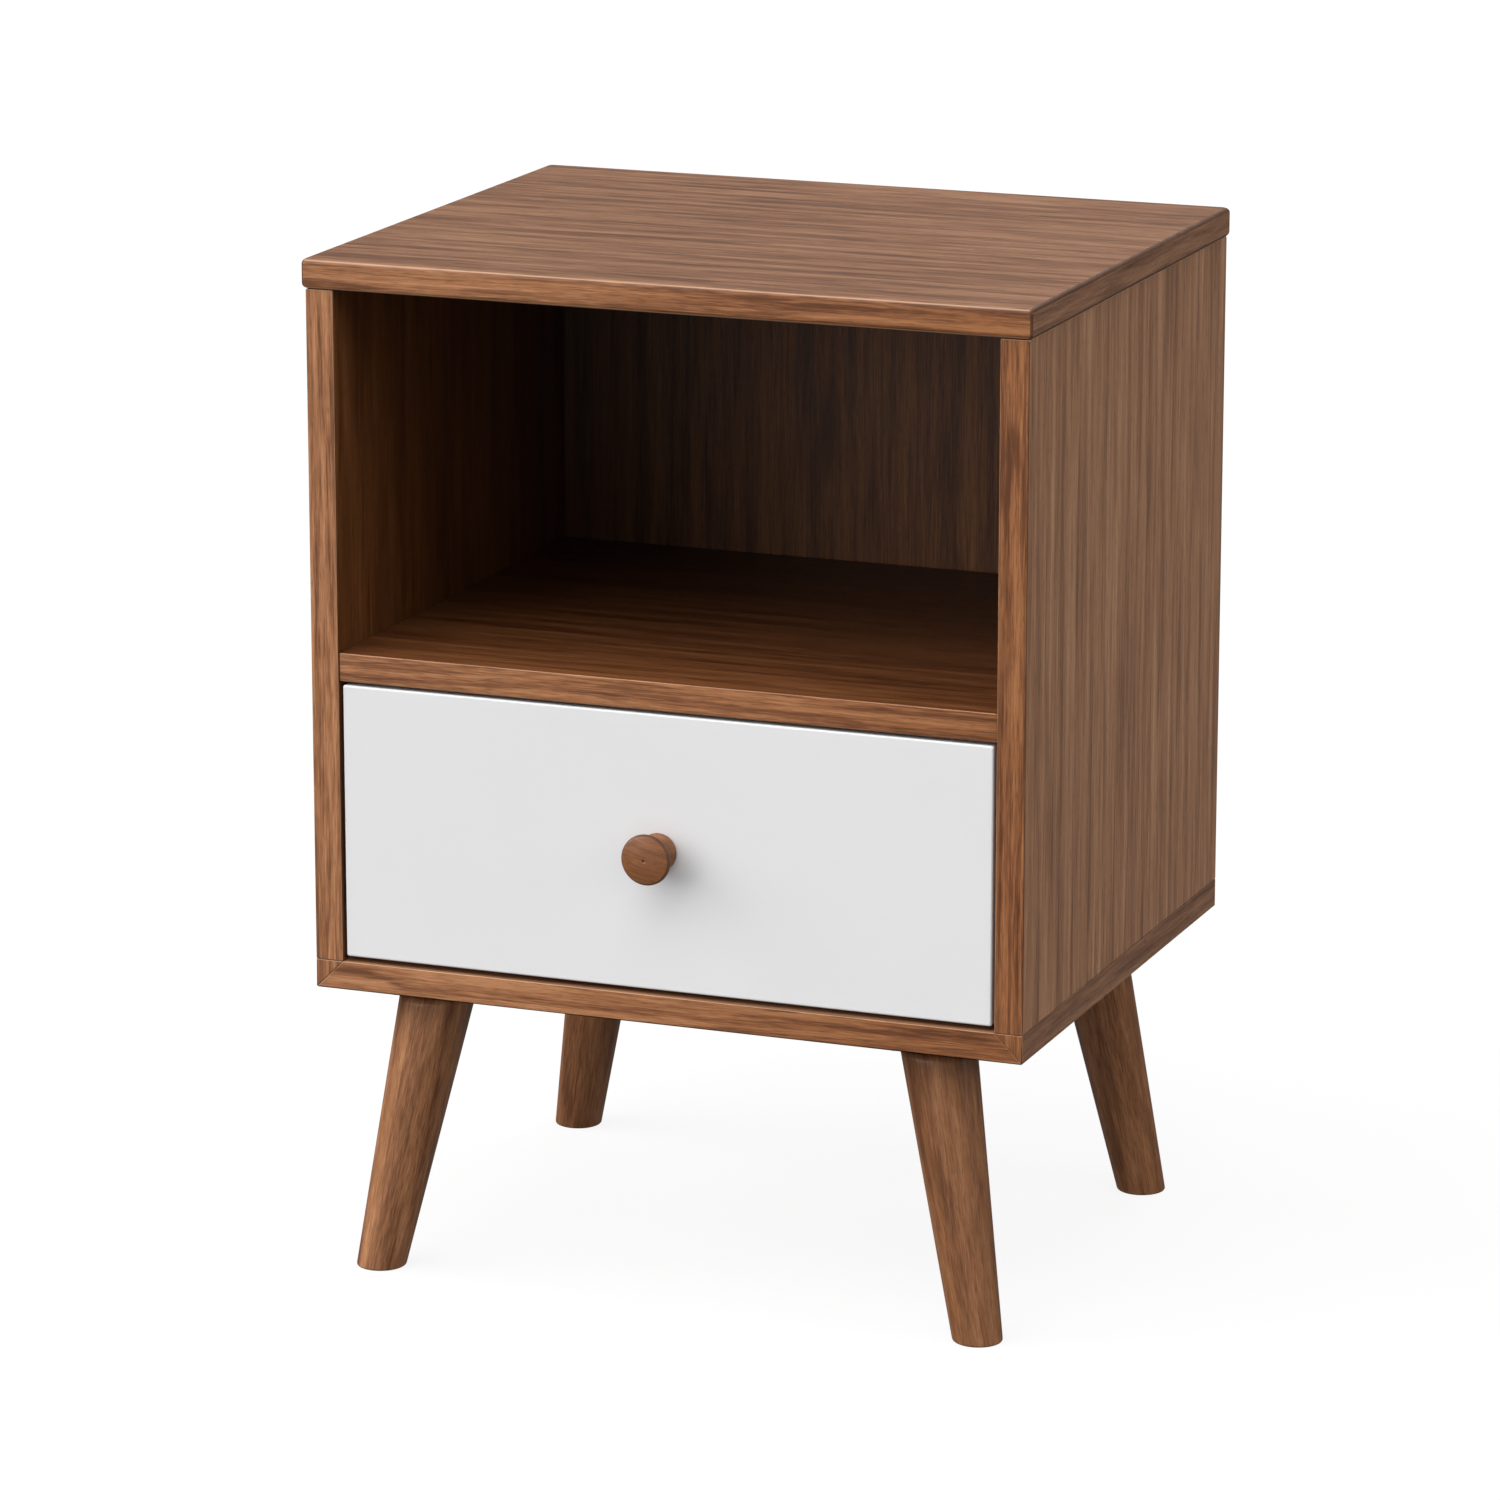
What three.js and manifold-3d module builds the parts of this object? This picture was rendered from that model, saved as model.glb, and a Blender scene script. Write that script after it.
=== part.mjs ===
// Side table with an open shelf above one drawer, on four splayed, tapered round legs.
//
// Units are millimetres, +Z is up and the front faces -Y. The origin is on the floor, under the
// middle of the whole table, knob included. Everything above the legs is placed in a "cabinet
// frame": y = 0 is the front plane of the side panels, z = 0 is the underside of the bottom panel.

import * as THREE from 'three';
import { mergeVertices } from 'three/addons/utils/BufferGeometryUtils.js';
import Module from 'manifold-3d';

const wasm = await Module();
wasm.setup();

// ---- driving dimensions: cabinet -------------------------------------------------------------

const CABINET_WIDTH = 400;
const CABINET_DEPTH = 330;
const CABINET_HEIGHT = 379.5; // underside of the bottom panel to underside of the top panel
const BOARD = 15.5; // veneered board of the sides, bottom and shelf
const SEAM = 0.2; // glue line between two boards
const GAP = 0.3; // clearance round a piece that sits in its neighbour

const TOP_THICKNESS = 16;
const TOP_SIDE_OVERHANG = 2;
const TOP_FRONT_OVERHANG = 1.5;
const TOP_EDGE_ROUND = 2.4;
const TOP_CORNER_ROUND = 3;

const SHELF_TOP = 185; // above the underside of the bottom panel
const SHELF_RECESS = 1; // behind the front plane

const BACK_THICKNESS = 5;
const BACK_FACE = 309.5; // front face of the back panel, behind the front plane
const BACK_GROOVE = 6; // depth of the grooves that hold the back panel

const DOWEL_RADIUS = 4;
const DOWEL_LENGTH = 30;
const DOWEL_IN_FACE = 10; // how far a dowel enters the face of a board, the rest is in the end
const DOWEL_PLACES = [60, 250]; // behind the front plane

// ---- driving dimensions: legs ----------------------------------------------------------------

const LEG_HEIGHT = 158; // floor to the underside of the bottom panel
const LEG_TOP_RADIUS = 20.3;
const LEG_FOOT_RADIUS = 13.2;
const LEG_SIDE_INSET = 57.8; // leg axis at its top, in from the side
const LEG_FRONT_INSET = 32.5;
const LEG_REAR_INSET = 54.8;
const SPLAY_SIDEWAYS = THREE.MathUtils.degToRad(10.5);
const SPLAY_FORE_AFT = THREE.MathUtils.degToRad(6);

const PLATE_SIZE = 46;
const PLATE_THICKNESS = 2;
const PLATE_HOLE_RADIUS = 2.2;
const PLATE_HOLE_INSET = 5.5; // screw hole centre, in from the plate's edges
const PLATE_CORNER_RADIUS = 4;
const BUSH_RADIUS = 7.5; // threaded bush that stands up from the plate, leaning with the leg
const BUSH_HEIGHT = 9;
const BUSH_RECESS_RADIUS = 11; // pocket in the underside of the bottom panel
const BUSH_RECESS_DEPTH = 11.5;
const BOLT_RADIUS = 4;
const BOLT_IN_LEG = 32;

// ---- driving dimensions: drawer --------------------------------------------------------------

const FRONT_THICKNESS = 16;
const FRONT_RECESS = 1;
const FRONT_SIDE_GAP = 2;
const FRONT_TOP_GAP = 1.9;
const FRONT_BOTTOM_GAP = 3;
const FRONT_EDGE_ROUND = 1.2;

const RUNNER_SPACE = 12.5; // between a side panel and the drawer's side
const DRAWER_SIDE_THICKNESS = 12;
const DRAWER_SIDE_LENGTH = 270;
const DRAWER_SIDE_HEIGHT = 110;
const DRAWER_SIDE_BOTTOM = 31.5; // above the underside of the bottom panel
const DRAWER_BACK_DROP = 5; // the drawer's back is this much lower than its sides
const DRAWER_FLOOR_THICKNESS = 4;
const DRAWER_FLOOR_BOTTOM = 41.5;
const DRAWER_GROOVE = 6;

const KNOB_SIDE_SHIFT = -2; // from the middle of the drawer front
const KNOB_RISE = 1;
const KNOB_HEIGHT = 21.4;
const KNOB_RADIUS = 13.7;
const KNOB_NECK_RADIUS = 8.1;
const KNOB_RIM_BACK = 17.6; // where the rim of the face starts, above the foot
const KNOB_RIM_FRONT = 20.2;
const KNOB_BASE_RADIUS = 10.2;
const KNOB_NECK_HEIGHT = 7; // where the neck is thinnest, above the foot
const KNOB_FLARE = 3; // power of the curve from the neck out to the rim
const KNOB_FACE_ROUND = 1.6; // how far in the rim's front edge is rounded
const KNOB_ROUND = 0.6; // small roundings of the foot and of the rim's rear
const KNOB_SCREW_RADIUS = 2;
const KNOB_SCREW_IN_KNOB = 12;
const KNOB_SCREW_HEAD_RADIUS = 3.8;
const KNOB_SCREW_HEAD_HEIGHT = 2;
const KNOB_SCREW_HEAD_ROUND = 1;

// ---- driving dimensions: runners -------------------------------------------------------------

const RUNNER_LENGTH = 250;
const STEEL = 1.2; // sheet thickness of the runners
const CABINET_RUNNER_FRONT = 20; // behind the front plane
const CABINET_RUNNER_BOTTOM = 28;
const CABINET_RUNNER_HEIGHT = 19.4;
const CABINET_RUNNER_REACH = 10; // flanges, out from the side panel
const DRAWER_RUNNER_FRONT = 18;
const DRAWER_RUNNER_BOTTOM = 30;
const DRAWER_RUNNER_HEIGHT = 22;
const DRAWER_RUNNER_UNDER = 12.3; // lower flange, under the drawer's side
const DRAWER_RUNNER_OVER = 7.5; // upper flange, over the cabinet's roller
const ROLLER_RADIUS = 8;
const ROLLER_WIDTH = 5.4;
const ROLLER_OFFSET = 4.2; // nearer face of a roller, out from the side panel
const ROLLER_HUB_RADIUS = 4.4;
const ROLLER_DISH = 0.7; // how far the web lies below the hub
const ROLLER_EDGE = 0.6; // chamfer of the tread
const ROLLER_ROOM = 4; // between a roller and the flange that stops short of it
const CABINET_ROLLER_Y = 32;
const DRAWER_ROLLER_Y = 258;
const AXLE_RADIUS = 2;
const AXLE_FLANGE_RADIUS = 3.4;
const AXLE_HEAD_HEIGHT = 0.6;
const SCREW_RADIUS = 1.8;
const SCREW_HEAD_RADIUS = 3.2;
const SCREW_HEAD_HEIGHT = 1.1;
const SCREW_HEAD_ROUND = 0.6;
const SCREW_POINT = 2; // length of the point
const CABINET_SCREW_LENGTH = 12;
const DRAWER_SCREW_LENGTH = 10;
const CABINET_SCREW_PLACES = [90, 230];
const DRAWER_SCREW_PLACES = [60, 220];

// ---- places worked out from them -------------------------------------------------------------

const KNOB_BASE_Y = FRONT_RECESS - GAP;
const KNOB_REACH = KNOB_HEIGHT - KNOB_BASE_Y; // in front of the front plane
const CABINET_FRONT = -(CABINET_DEPTH - KNOB_REACH) / 2;

const HALF_WIDTH = CABINET_WIDTH / 2;
const INNER_HALF = HALF_WIDTH - BOARD;
const SHELF_BOTTOM = SHELF_TOP - BOARD;
const SHELF_MIDDLE = SHELF_TOP - BOARD / 2;
const BACK_REAR = BACK_FACE + BACK_THICKNESS;

const FRONT_HALF = INNER_HALF - FRONT_SIDE_GAP;
const FRONT_BOTTOM = BOARD + FRONT_BOTTOM_GAP;
const FRONT_TOP = SHELF_BOTTOM - FRONT_TOP_GAP;
const FRONT_REAR = FRONT_RECESS + FRONT_THICKNESS;
const BOX_HALF = INNER_HALF - RUNNER_SPACE;
const BOX_INNER_HALF = BOX_HALF - DRAWER_SIDE_THICKNESS;
const BOX_FRONT = FRONT_REAR + GAP;
const BOX_REAR = BOX_FRONT + DRAWER_SIDE_LENGTH;
const BOX_TOP = DRAWER_SIDE_BOTTOM + DRAWER_SIDE_HEIGHT;
const KNOB_X = KNOB_SIDE_SHIFT;
const KNOB_Z = (FRONT_BOTTOM + FRONT_TOP) / 2 + KNOB_RISE;

const DRAWER_RUNNER_TOP = DRAWER_RUNNER_BOTTOM + DRAWER_RUNNER_HEIGHT;
const CABINET_ROLLER_Z = DRAWER_RUNNER_TOP - STEEL - GAP - ROLLER_RADIUS;
const DRAWER_ROLLER_Z = CABINET_RUNNER_BOTTOM + STEEL + GAP + ROLLER_RADIUS;
const CABINET_SCREW_Z = CABINET_RUNNER_BOTTOM + CABINET_RUNNER_HEIGHT / 2;
const CABINET_RAIL_FACE = GAP + STEEL + GAP; // where an axle's flange starts, out from the side
const DRAWER_RAIL_FACE = RUNNER_SPACE - GAP - STEEL - GAP;
const DRAWER_SCREW_X = BOX_HALF - DRAWER_SIDE_THICKNESS / 2;

const CUT = 5; // how far a cutting shape stands clear of what it cuts

const BAR_SEGMENTS = 16;
const LEG_SEGMENTS = 36;
const KNOB_SEGMENTS = 28;
const KNOB_NECK_STEPS = 8; // rings of the knob's curve from foot to rim
const ROLLER_SEGMENTS = 24;
const AXLE_SEGMENTS = 12;
const SCREW_SEGMENTS = 12;
const SMALL_HOLE_SEGMENTS = 12;

// ---- materials -------------------------------------------------------------------------------

function walnut() {
  return new THREE.MeshStandardMaterial({ color: 0x7a5038, roughness: 0.55, metalness: 0 });
}

function whitePaint() {
  return new THREE.MeshStandardMaterial({ color: 0xe6e5e4, roughness: 0.45, metalness: 0 });
}

function paleBoard() {
  return new THREE.MeshStandardMaterial({ color: 0xcbb28c, roughness: 0.7, metalness: 0 });
}

function beech() {
  return new THREE.MeshStandardMaterial({ color: 0xc79f6c, roughness: 0.75, metalness: 0 });
}

function paintedSteel() {
  return new THREE.MeshStandardMaterial({ color: 0xdad9d5, roughness: 0.4, metalness: 0.3 });
}

function zincSteel() {
  return new THREE.MeshStandardMaterial({ color: 0xa9abad, roughness: 0.35, metalness: 0.9 });
}

function nylon() {
  return new THREE.MeshStandardMaterial({ color: 0xf0efea, roughness: 0.5, metalness: 0 });
}

// ---- shape helpers ---------------------------------------------------------------------------

// A closed three.js geometry as a manifold solid.
function solid(geometry) {
  const bare = geometry.clone();
  bare.deleteAttribute('normal');
  bare.deleteAttribute('uv');
  const merged = mergeVertices(bare, 1e-4);
  return new wasm.Manifold(new wasm.Mesh({
    numProp: 3,
    vertProperties: new Float32Array(merged.attributes.position.array),
    triVerts: new Uint32Array(merged.index.array),
  }));
}

// A manifold solid as a three.js geometry.
function geometryOf(body) {
  const mesh = body.getMesh();
  const geometry = new THREE.BufferGeometry();
  geometry.setAttribute('position', new THREE.BufferAttribute(new Float32Array(mesh.vertProperties), 3));
  geometry.setIndex(new THREE.BufferAttribute(new Uint32Array(mesh.triVerts), 1));
  geometry.computeVertexNormals();
  return geometry;
}

function carve(geometry, cutters) {
  let body = solid(geometry);
  for (const cutter of cutters) {
    body = body.subtract(solid(cutter));
  }
  return geometryOf(body);
}

// A box between two x, two y and two z values, each pair in either order.
function block([x0, x1], [y0, y1], [z0, z1]) {
  const geometry = new THREE.BoxGeometry(Math.abs(x1 - x0), Math.abs(y1 - y0), Math.abs(z1 - z0));
  return geometry.translate((x0 + x1) / 2, (y0 + y1) / 2, (z0 + z1) / 2);
}

// A round bar between two points, with its own radius at each of them.
function bar(start, end, startRadius, endRadius = startRadius, segments = BAR_SEGMENTS) {
  const from = new THREE.Vector3(...start);
  const to = new THREE.Vector3(...end);
  const along = to.clone().sub(from);
  const geometry = new THREE.CylinderGeometry(endRadius, startRadius, along.length(), segments);
  const turn = new THREE.Quaternion().setFromUnitVectors(
    new THREE.Vector3(0, 1, 0),
    along.clone().normalize(),
  );
  geometry.applyQuaternion(turn);
  const middle = from.add(to).multiplyScalar(0.5);
  return geometry.translate(middle.x, middle.y, middle.z);
}

function roundedRectangle(halfWidth, halfHeight, radius) {
  const shape = new THREE.Shape();
  shape.moveTo(-halfWidth + radius, -halfHeight);
  shape.lineTo(halfWidth - radius, -halfHeight);
  shape.absarc(halfWidth - radius, -halfHeight + radius, radius, -Math.PI / 2, 0);
  shape.lineTo(halfWidth, halfHeight - radius);
  shape.absarc(halfWidth - radius, halfHeight - radius, radius, 0, Math.PI / 2);
  shape.lineTo(-halfWidth + radius, halfHeight);
  shape.absarc(-halfWidth + radius, halfHeight - radius, radius, Math.PI / 2, Math.PI);
  shape.lineTo(-halfWidth, -halfHeight + radius);
  shape.absarc(-halfWidth + radius, -halfHeight + radius, radius, Math.PI, Math.PI * 1.5);
  return shape;
}

// A board with rounded edges, lying in XY, centred, from z = 0 up.
function softBoard(width, height, thickness, edgeRound, cornerRound) {
  const outline = roundedRectangle(
    width / 2 - edgeRound,
    height / 2 - edgeRound,
    Math.max(cornerRound - edgeRound, 0.4),
  );
  const geometry = new THREE.ExtrudeGeometry(outline, {
    depth: thickness - 2 * edgeRound,
    bevelThickness: edgeRound,
    bevelSize: edgeRound,
    bevelSegments: 2,
    curveSegments: 2,
  });
  return geometry.translate(0, 0, edgeRound);
}

// An outline in X and Z, run along Y from y = from to y = to.
function runAlongY(points, from, to) {
  const outline = new THREE.Shape(points.map(([x, z]) => new THREE.Vector2(x, z)));
  const geometry = new THREE.ExtrudeGeometry(outline, { depth: to - from, bevelEnabled: false });
  return geometry.rotateX(Math.PI / 2).translate(0, to, 0);
}

function turned(profile, segments) {
  const points = profile.map(([radius, height]) => new THREE.Vector2(radius, height));
  return new THREE.LatheGeometry(points, segments);
}

function piece(group, name, geometry, material) {
  const mesh = new THREE.Mesh(geometry, material);
  mesh.name = name;
  group.add(mesh);
  return mesh;
}

const SIDES = [
  { name: 'left', sign: -1 },
  { name: 'right', sign: 1 },
];

// ---- where the legs stand --------------------------------------------------------------------

const LEGS = [
  { name: 'front_left', x: -1, y: -1 },
  { name: 'front_right', x: 1, y: -1 },
  { name: 'rear_left', x: -1, y: 1 },
  { name: 'rear_right', x: 1, y: 1 },
];

// Where a leg's axis meets the underside of the bottom panel.
function legTop(leg) {
  const y = leg.y < 0 ? LEG_FRONT_INSET : CABINET_DEPTH - LEG_REAR_INSET;
  return [leg.x * (HALF_WIDTH - LEG_SIDE_INSET), y, 0];
}

// A point on a leg's axis, at a height measured from the underside of the bottom panel.
function onLegAxis(leg, height) {
  const [x, y] = legTop(leg);
  return [
    x - leg.x * height * Math.tan(SPLAY_SIDEWAYS),
    y - leg.y * height * Math.tan(SPLAY_FORE_AFT),
    height,
  ];
}

function legRadius(height) {
  return LEG_TOP_RADIUS + (LEG_TOP_RADIUS - LEG_FOOT_RADIUS) * (height / LEG_HEIGHT);
}

// ---- cabinet ---------------------------------------------------------------------------------

// The grooves that take the back panel's four edges, as one cutting box.
function backGroove() {
  return block(
    [-INNER_HALF - BACK_GROOVE, INNER_HALF + BACK_GROOVE],
    [BACK_FACE - GAP, BACK_REAR + GAP],
    [BOARD - BACK_GROOVE, CABINET_HEIGHT + BACK_GROOVE],
  );
}

// Shelf dowels lie along X, through the face of a side panel into the end of the shelf.
function shelfDowel(sign, y, clearance) {
  const outer = INNER_HALF + DOWEL_IN_FACE + clearance;
  const inner = INNER_HALF + DOWEL_IN_FACE - DOWEL_LENGTH - clearance;
  return bar([sign * outer, y, SHELF_MIDDLE], [sign * inner, y, SHELF_MIDDLE], DOWEL_RADIUS + clearance);
}

// Top dowels stand upright, out of the end of a side panel into the underside of the top.
function topDowel(sign, y, clearance) {
  const x = sign * (INNER_HALF + BOARD / 2);
  const upper = CABINET_HEIGHT + DOWEL_IN_FACE + clearance;
  const lower = CABINET_HEIGHT + DOWEL_IN_FACE - DOWEL_LENGTH - clearance;
  return bar([x, y, lower], [x, y, upper], DOWEL_RADIUS + clearance);
}

function topPanel() {
  const width = CABINET_WIDTH + 2 * TOP_SIDE_OVERHANG;
  const depth = CABINET_DEPTH + TOP_FRONT_OVERHANG;
  const board = softBoard(width, depth, TOP_THICKNESS, TOP_EDGE_ROUND, TOP_CORNER_ROUND);
  board.translate(0, (CABINET_DEPTH - TOP_FRONT_OVERHANG) / 2, CABINET_HEIGHT);
  const cutters = [backGroove()];
  for (const { sign } of SIDES) {
    for (const y of DOWEL_PLACES) {
      cutters.push(topDowel(sign, y, GAP));
    }
  }
  return carve(board, cutters);
}

function sidePanel(sign) {
  const board = block(
    [sign * INNER_HALF, sign * HALF_WIDTH],
    [0, CABINET_DEPTH],
    [BOARD + SEAM, CABINET_HEIGHT - SEAM],
  );
  const cutters = [backGroove()];
  for (const y of DOWEL_PLACES) {
    cutters.push(shelfDowel(sign, y, GAP));
    cutters.push(topDowel(sign, y, GAP));
  }
  for (const y of CABINET_SCREW_PLACES) {
    cutters.push(cabinetScrewHole(sign, y));
  }
  return carve(board, cutters);
}

// The bottom panel's ends are mitred at 45 degrees and meet a three-sided corner strip.
function bottomPanel() {
  const board = runAlongY([
    [-HALF_WIDTH + GAP, 0],
    [HALF_WIDTH - GAP, 0],
    [INNER_HALF - GAP, BOARD],
    [-INNER_HALF + GAP, BOARD],
  ], 0, CABINET_DEPTH);
  const cutters = [backGroove()];
  for (const leg of LEGS) {
    const [x, y] = legTop(leg);
    cutters.push(bar([x, y, -CUT], [x, y, BUSH_RECESS_DEPTH], BUSH_RECESS_RADIUS));
  }
  return carve(board, cutters);
}

function cornerStrip(sign) {
  const outline = [
    [sign * HALF_WIDTH, 0],
    [sign * HALF_WIDTH, BOARD],
    [sign * INNER_HALF, BOARD],
  ];
  return carve(runAlongY(outline, 0, CABINET_DEPTH), [backGroove()]);
}

function shelfPanel() {
  const board = block(
    [-INNER_HALF + SEAM, INNER_HALF - SEAM],
    [SHELF_RECESS, BACK_FACE - GAP],
    [SHELF_BOTTOM, SHELF_TOP],
  );
  const cutters = [];
  for (const { sign } of SIDES) {
    for (const y of DOWEL_PLACES) {
      cutters.push(shelfDowel(sign, y, GAP));
    }
  }
  return carve(board, cutters);
}

function backPanel() {
  const reach = BACK_GROOVE - GAP;
  return block(
    [-INNER_HALF - reach, INNER_HALF + reach],
    [BACK_FACE, BACK_REAR],
    [BOARD - reach, CABINET_HEIGHT + reach],
  );
}

function buildCabinet(group) {
  piece(group, 'top_panel', topPanel(), walnut());
  piece(group, 'bottom_panel', bottomPanel(), walnut());
  piece(group, 'shelf_panel', shelfPanel(), walnut());
  piece(group, 'back_panel', backPanel(), walnut());
  for (const { name, sign } of SIDES) {
    piece(group, `side_panel_${name}`, sidePanel(sign), walnut());
    piece(group, `bottom_corner_strip_${name}`, cornerStrip(sign), walnut());
    DOWEL_PLACES.forEach((y, index) => {
      const place = index === 0 ? 'front' : 'rear';
      piece(group, `shelf_dowel_${name}_${place}`, shelfDowel(sign, y, 0), beech());
      piece(group, `top_dowel_${name}_${place}`, topDowel(sign, y, 0), beech());
    });
  }
}

// ---- legs ------------------------------------------------------------------------------------

const LEG_CUT_TOP = -(2 * GAP + PLATE_THICKNESS); // under the plate
const LEG_SPARE = 25; // length that the level cuts at both ends take off

// A turned taper on a leaning axis, cut level at the plate and at the floor.
function legBody(leg) {
  const low = -LEG_HEIGHT - LEG_SPARE;
  const taper = bar(
    onLegAxis(leg, low),
    onLegAxis(leg, LEG_SPARE),
    legRadius(low),
    legRadius(LEG_SPARE),
    LEG_SEGMENTS,
  );
  const level = block(
    [-CABINET_WIDTH, CABINET_WIDTH],
    [-CABINET_DEPTH, 2 * CABINET_DEPTH],
    [-LEG_HEIGHT, LEG_CUT_TOP],
  );
  const boltHole = bar(
    onLegAxis(leg, -BOLT_IN_LEG - GAP),
    onLegAxis(leg, CUT),
    BOLT_RADIUS + GAP,
  );
  return geometryOf(solid(taper).intersect(solid(level)).subtract(solid(boltHole)));
}

// A square steel plate with a bush that leans with the leg and four screw holes.
function legPlate(leg) {
  const [x, y] = legTop(leg);
  const underside = -GAP - PLATE_THICKNESS;
  const outline = roundedRectangle(PLATE_SIZE / 2, PLATE_SIZE / 2, PLATE_CORNER_RADIUS);
  const plate = new THREE.ExtrudeGeometry(outline, {
    depth: PLATE_THICKNESS,
    bevelEnabled: false,
    curveSegments: 3,
  });
  plate.translate(x, y, underside);
  const bush = bar(onLegAxis(leg, underside), onLegAxis(leg, BUSH_HEIGHT), BUSH_RADIUS);
  const above = block(
    [x - PLATE_SIZE, x + PLATE_SIZE],
    [y - PLATE_SIZE, y + PLATE_SIZE],
    [underside, PLATE_SIZE],
  );
  const thread = bar(onLegAxis(leg, -CUT), onLegAxis(leg, BUSH_HEIGHT + CUT), BOLT_RADIUS + GAP);
  let body = solid(plate).add(solid(bush).intersect(solid(above))).subtract(solid(thread));
  const reach = PLATE_SIZE / 2 - PLATE_HOLE_INSET;
  for (const side of [-1, 1]) {
    for (const end of [-1, 1]) {
      const hole = bar(
        [x + side * reach, y + end * reach, -CUT],
        [x + side * reach, y + end * reach, CUT],
        PLATE_HOLE_RADIUS,
        PLATE_HOLE_RADIUS,
        SMALL_HOLE_SEGMENTS,
      );
      body = body.subtract(solid(hole));
    }
  }
  return geometryOf(body);
}

function hangerBolt(leg) {
  return bar(onLegAxis(leg, -BOLT_IN_LEG), onLegAxis(leg, BUSH_HEIGHT - GAP), BOLT_RADIUS);
}

function buildLegs(group) {
  for (const leg of LEGS) {
    piece(group, `leg_${leg.name}`, legBody(leg), walnut());
    piece(group, `leg_plate_${leg.name}`, legPlate(leg), zincSteel());
    piece(group, `hanger_bolt_${leg.name}`, hangerBolt(leg), zincSteel());
  }
}

// ---- drawer ----------------------------------------------------------------------------------

// The groove round the inside of the drawer that holds its floor.
function floorGroove() {
  return block(
    [-BOX_INNER_HALF - DRAWER_GROOVE, BOX_INNER_HALF + DRAWER_GROOVE],
    [FRONT_REAR - DRAWER_GROOVE, BOX_REAR + CUT],
    [DRAWER_FLOOR_BOTTOM - GAP, DRAWER_FLOOR_BOTTOM + DRAWER_FLOOR_THICKNESS + GAP],
  );
}

function drawerFront() {
  const width = 2 * FRONT_HALF;
  const height = FRONT_TOP - FRONT_BOTTOM;
  const board = softBoard(width, height, FRONT_THICKNESS, FRONT_EDGE_ROUND, FRONT_EDGE_ROUND);
  board.rotateX(Math.PI / 2);
  board.translate(0, FRONT_REAR, (FRONT_TOP + FRONT_BOTTOM) / 2);
  const screwHole = bar(
    [KNOB_X, FRONT_RECESS - CUT, KNOB_Z],
    [KNOB_X, FRONT_REAR + CUT, KNOB_Z],
    KNOB_SCREW_RADIUS + GAP,
  );
  return carve(board, [floorGroove(), screwHole]);
}

function drawerSide(sign) {
  const board = block(
    [sign * BOX_INNER_HALF, sign * BOX_HALF],
    [BOX_FRONT, BOX_REAR],
    [DRAWER_SIDE_BOTTOM, BOX_TOP],
  );
  const cutters = [floorGroove()];
  for (const y of DRAWER_SCREW_PLACES) {
    cutters.push(drawerScrewHole(sign, y));
  }
  return carve(board, cutters);
}

function drawerBack() {
  return block(
    [-BOX_INNER_HALF + SEAM, BOX_INNER_HALF - SEAM],
    [BOX_REAR - DRAWER_SIDE_THICKNESS, BOX_REAR],
    [DRAWER_FLOOR_BOTTOM + DRAWER_FLOOR_THICKNESS + GAP, BOX_TOP - DRAWER_BACK_DROP],
  );
}

function drawerFloor() {
  const reach = BOX_INNER_HALF + DRAWER_GROOVE - GAP;
  return block(
    [-reach, reach],
    [FRONT_REAR - DRAWER_GROOVE + GAP, BOX_REAR - GAP],
    [DRAWER_FLOOR_BOTTOM, DRAWER_FLOOR_BOTTOM + DRAWER_FLOOR_THICKNESS],
  );
}

// The knob's radius behind its rim: thinnest at the neck, wider to the foot and to the rim.
function neckRadius(height) {
  if (height < KNOB_NECK_HEIGHT) {
    const toFoot = 1 - height / KNOB_NECK_HEIGHT;
    return KNOB_NECK_RADIUS + (KNOB_BASE_RADIUS - KNOB_NECK_RADIUS) * toFoot ** 2;
  }
  const toRim = (height - KNOB_NECK_HEIGHT) / (KNOB_RIM_BACK - KNOB_NECK_HEIGHT);
  return KNOB_NECK_RADIUS + (KNOB_RADIUS - KNOB_NECK_RADIUS) * toRim ** KNOB_FLARE;
}

// A mushroom knob, turned about its own axis, from its flared foot to its shallow domed face.
function knob() {
  const profile = [
    [0, KNOB_SCREW_IN_KNOB],
    [KNOB_SCREW_RADIUS + GAP, KNOB_SCREW_IN_KNOB],
    [KNOB_SCREW_RADIUS + GAP, 0],
    [KNOB_BASE_RADIUS - KNOB_ROUND, 0],
    [KNOB_BASE_RADIUS, KNOB_ROUND],
  ];
  const neckStep = (KNOB_RIM_BACK - KNOB_ROUND) / KNOB_NECK_STEPS;
  for (let step = 1; step <= KNOB_NECK_STEPS; step += 1) {
    profile.push([neckRadius(step * neckStep), step * neckStep]);
  }
  profile.push(
    [KNOB_RADIUS, KNOB_RIM_BACK],
    [KNOB_RADIUS, KNOB_RIM_FRONT - KNOB_ROUND],
    [KNOB_RADIUS - KNOB_FACE_ROUND / 3, KNOB_RIM_FRONT + KNOB_ROUND / 3],
    [KNOB_RADIUS - KNOB_FACE_ROUND, KNOB_RIM_FRONT + KNOB_ROUND],
    [0, KNOB_HEIGHT],
  );
  const geometry = turned(profile, KNOB_SEGMENTS);
  return geometry.rotateZ(Math.PI).translate(KNOB_X, KNOB_BASE_Y, KNOB_Z);
}

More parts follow.
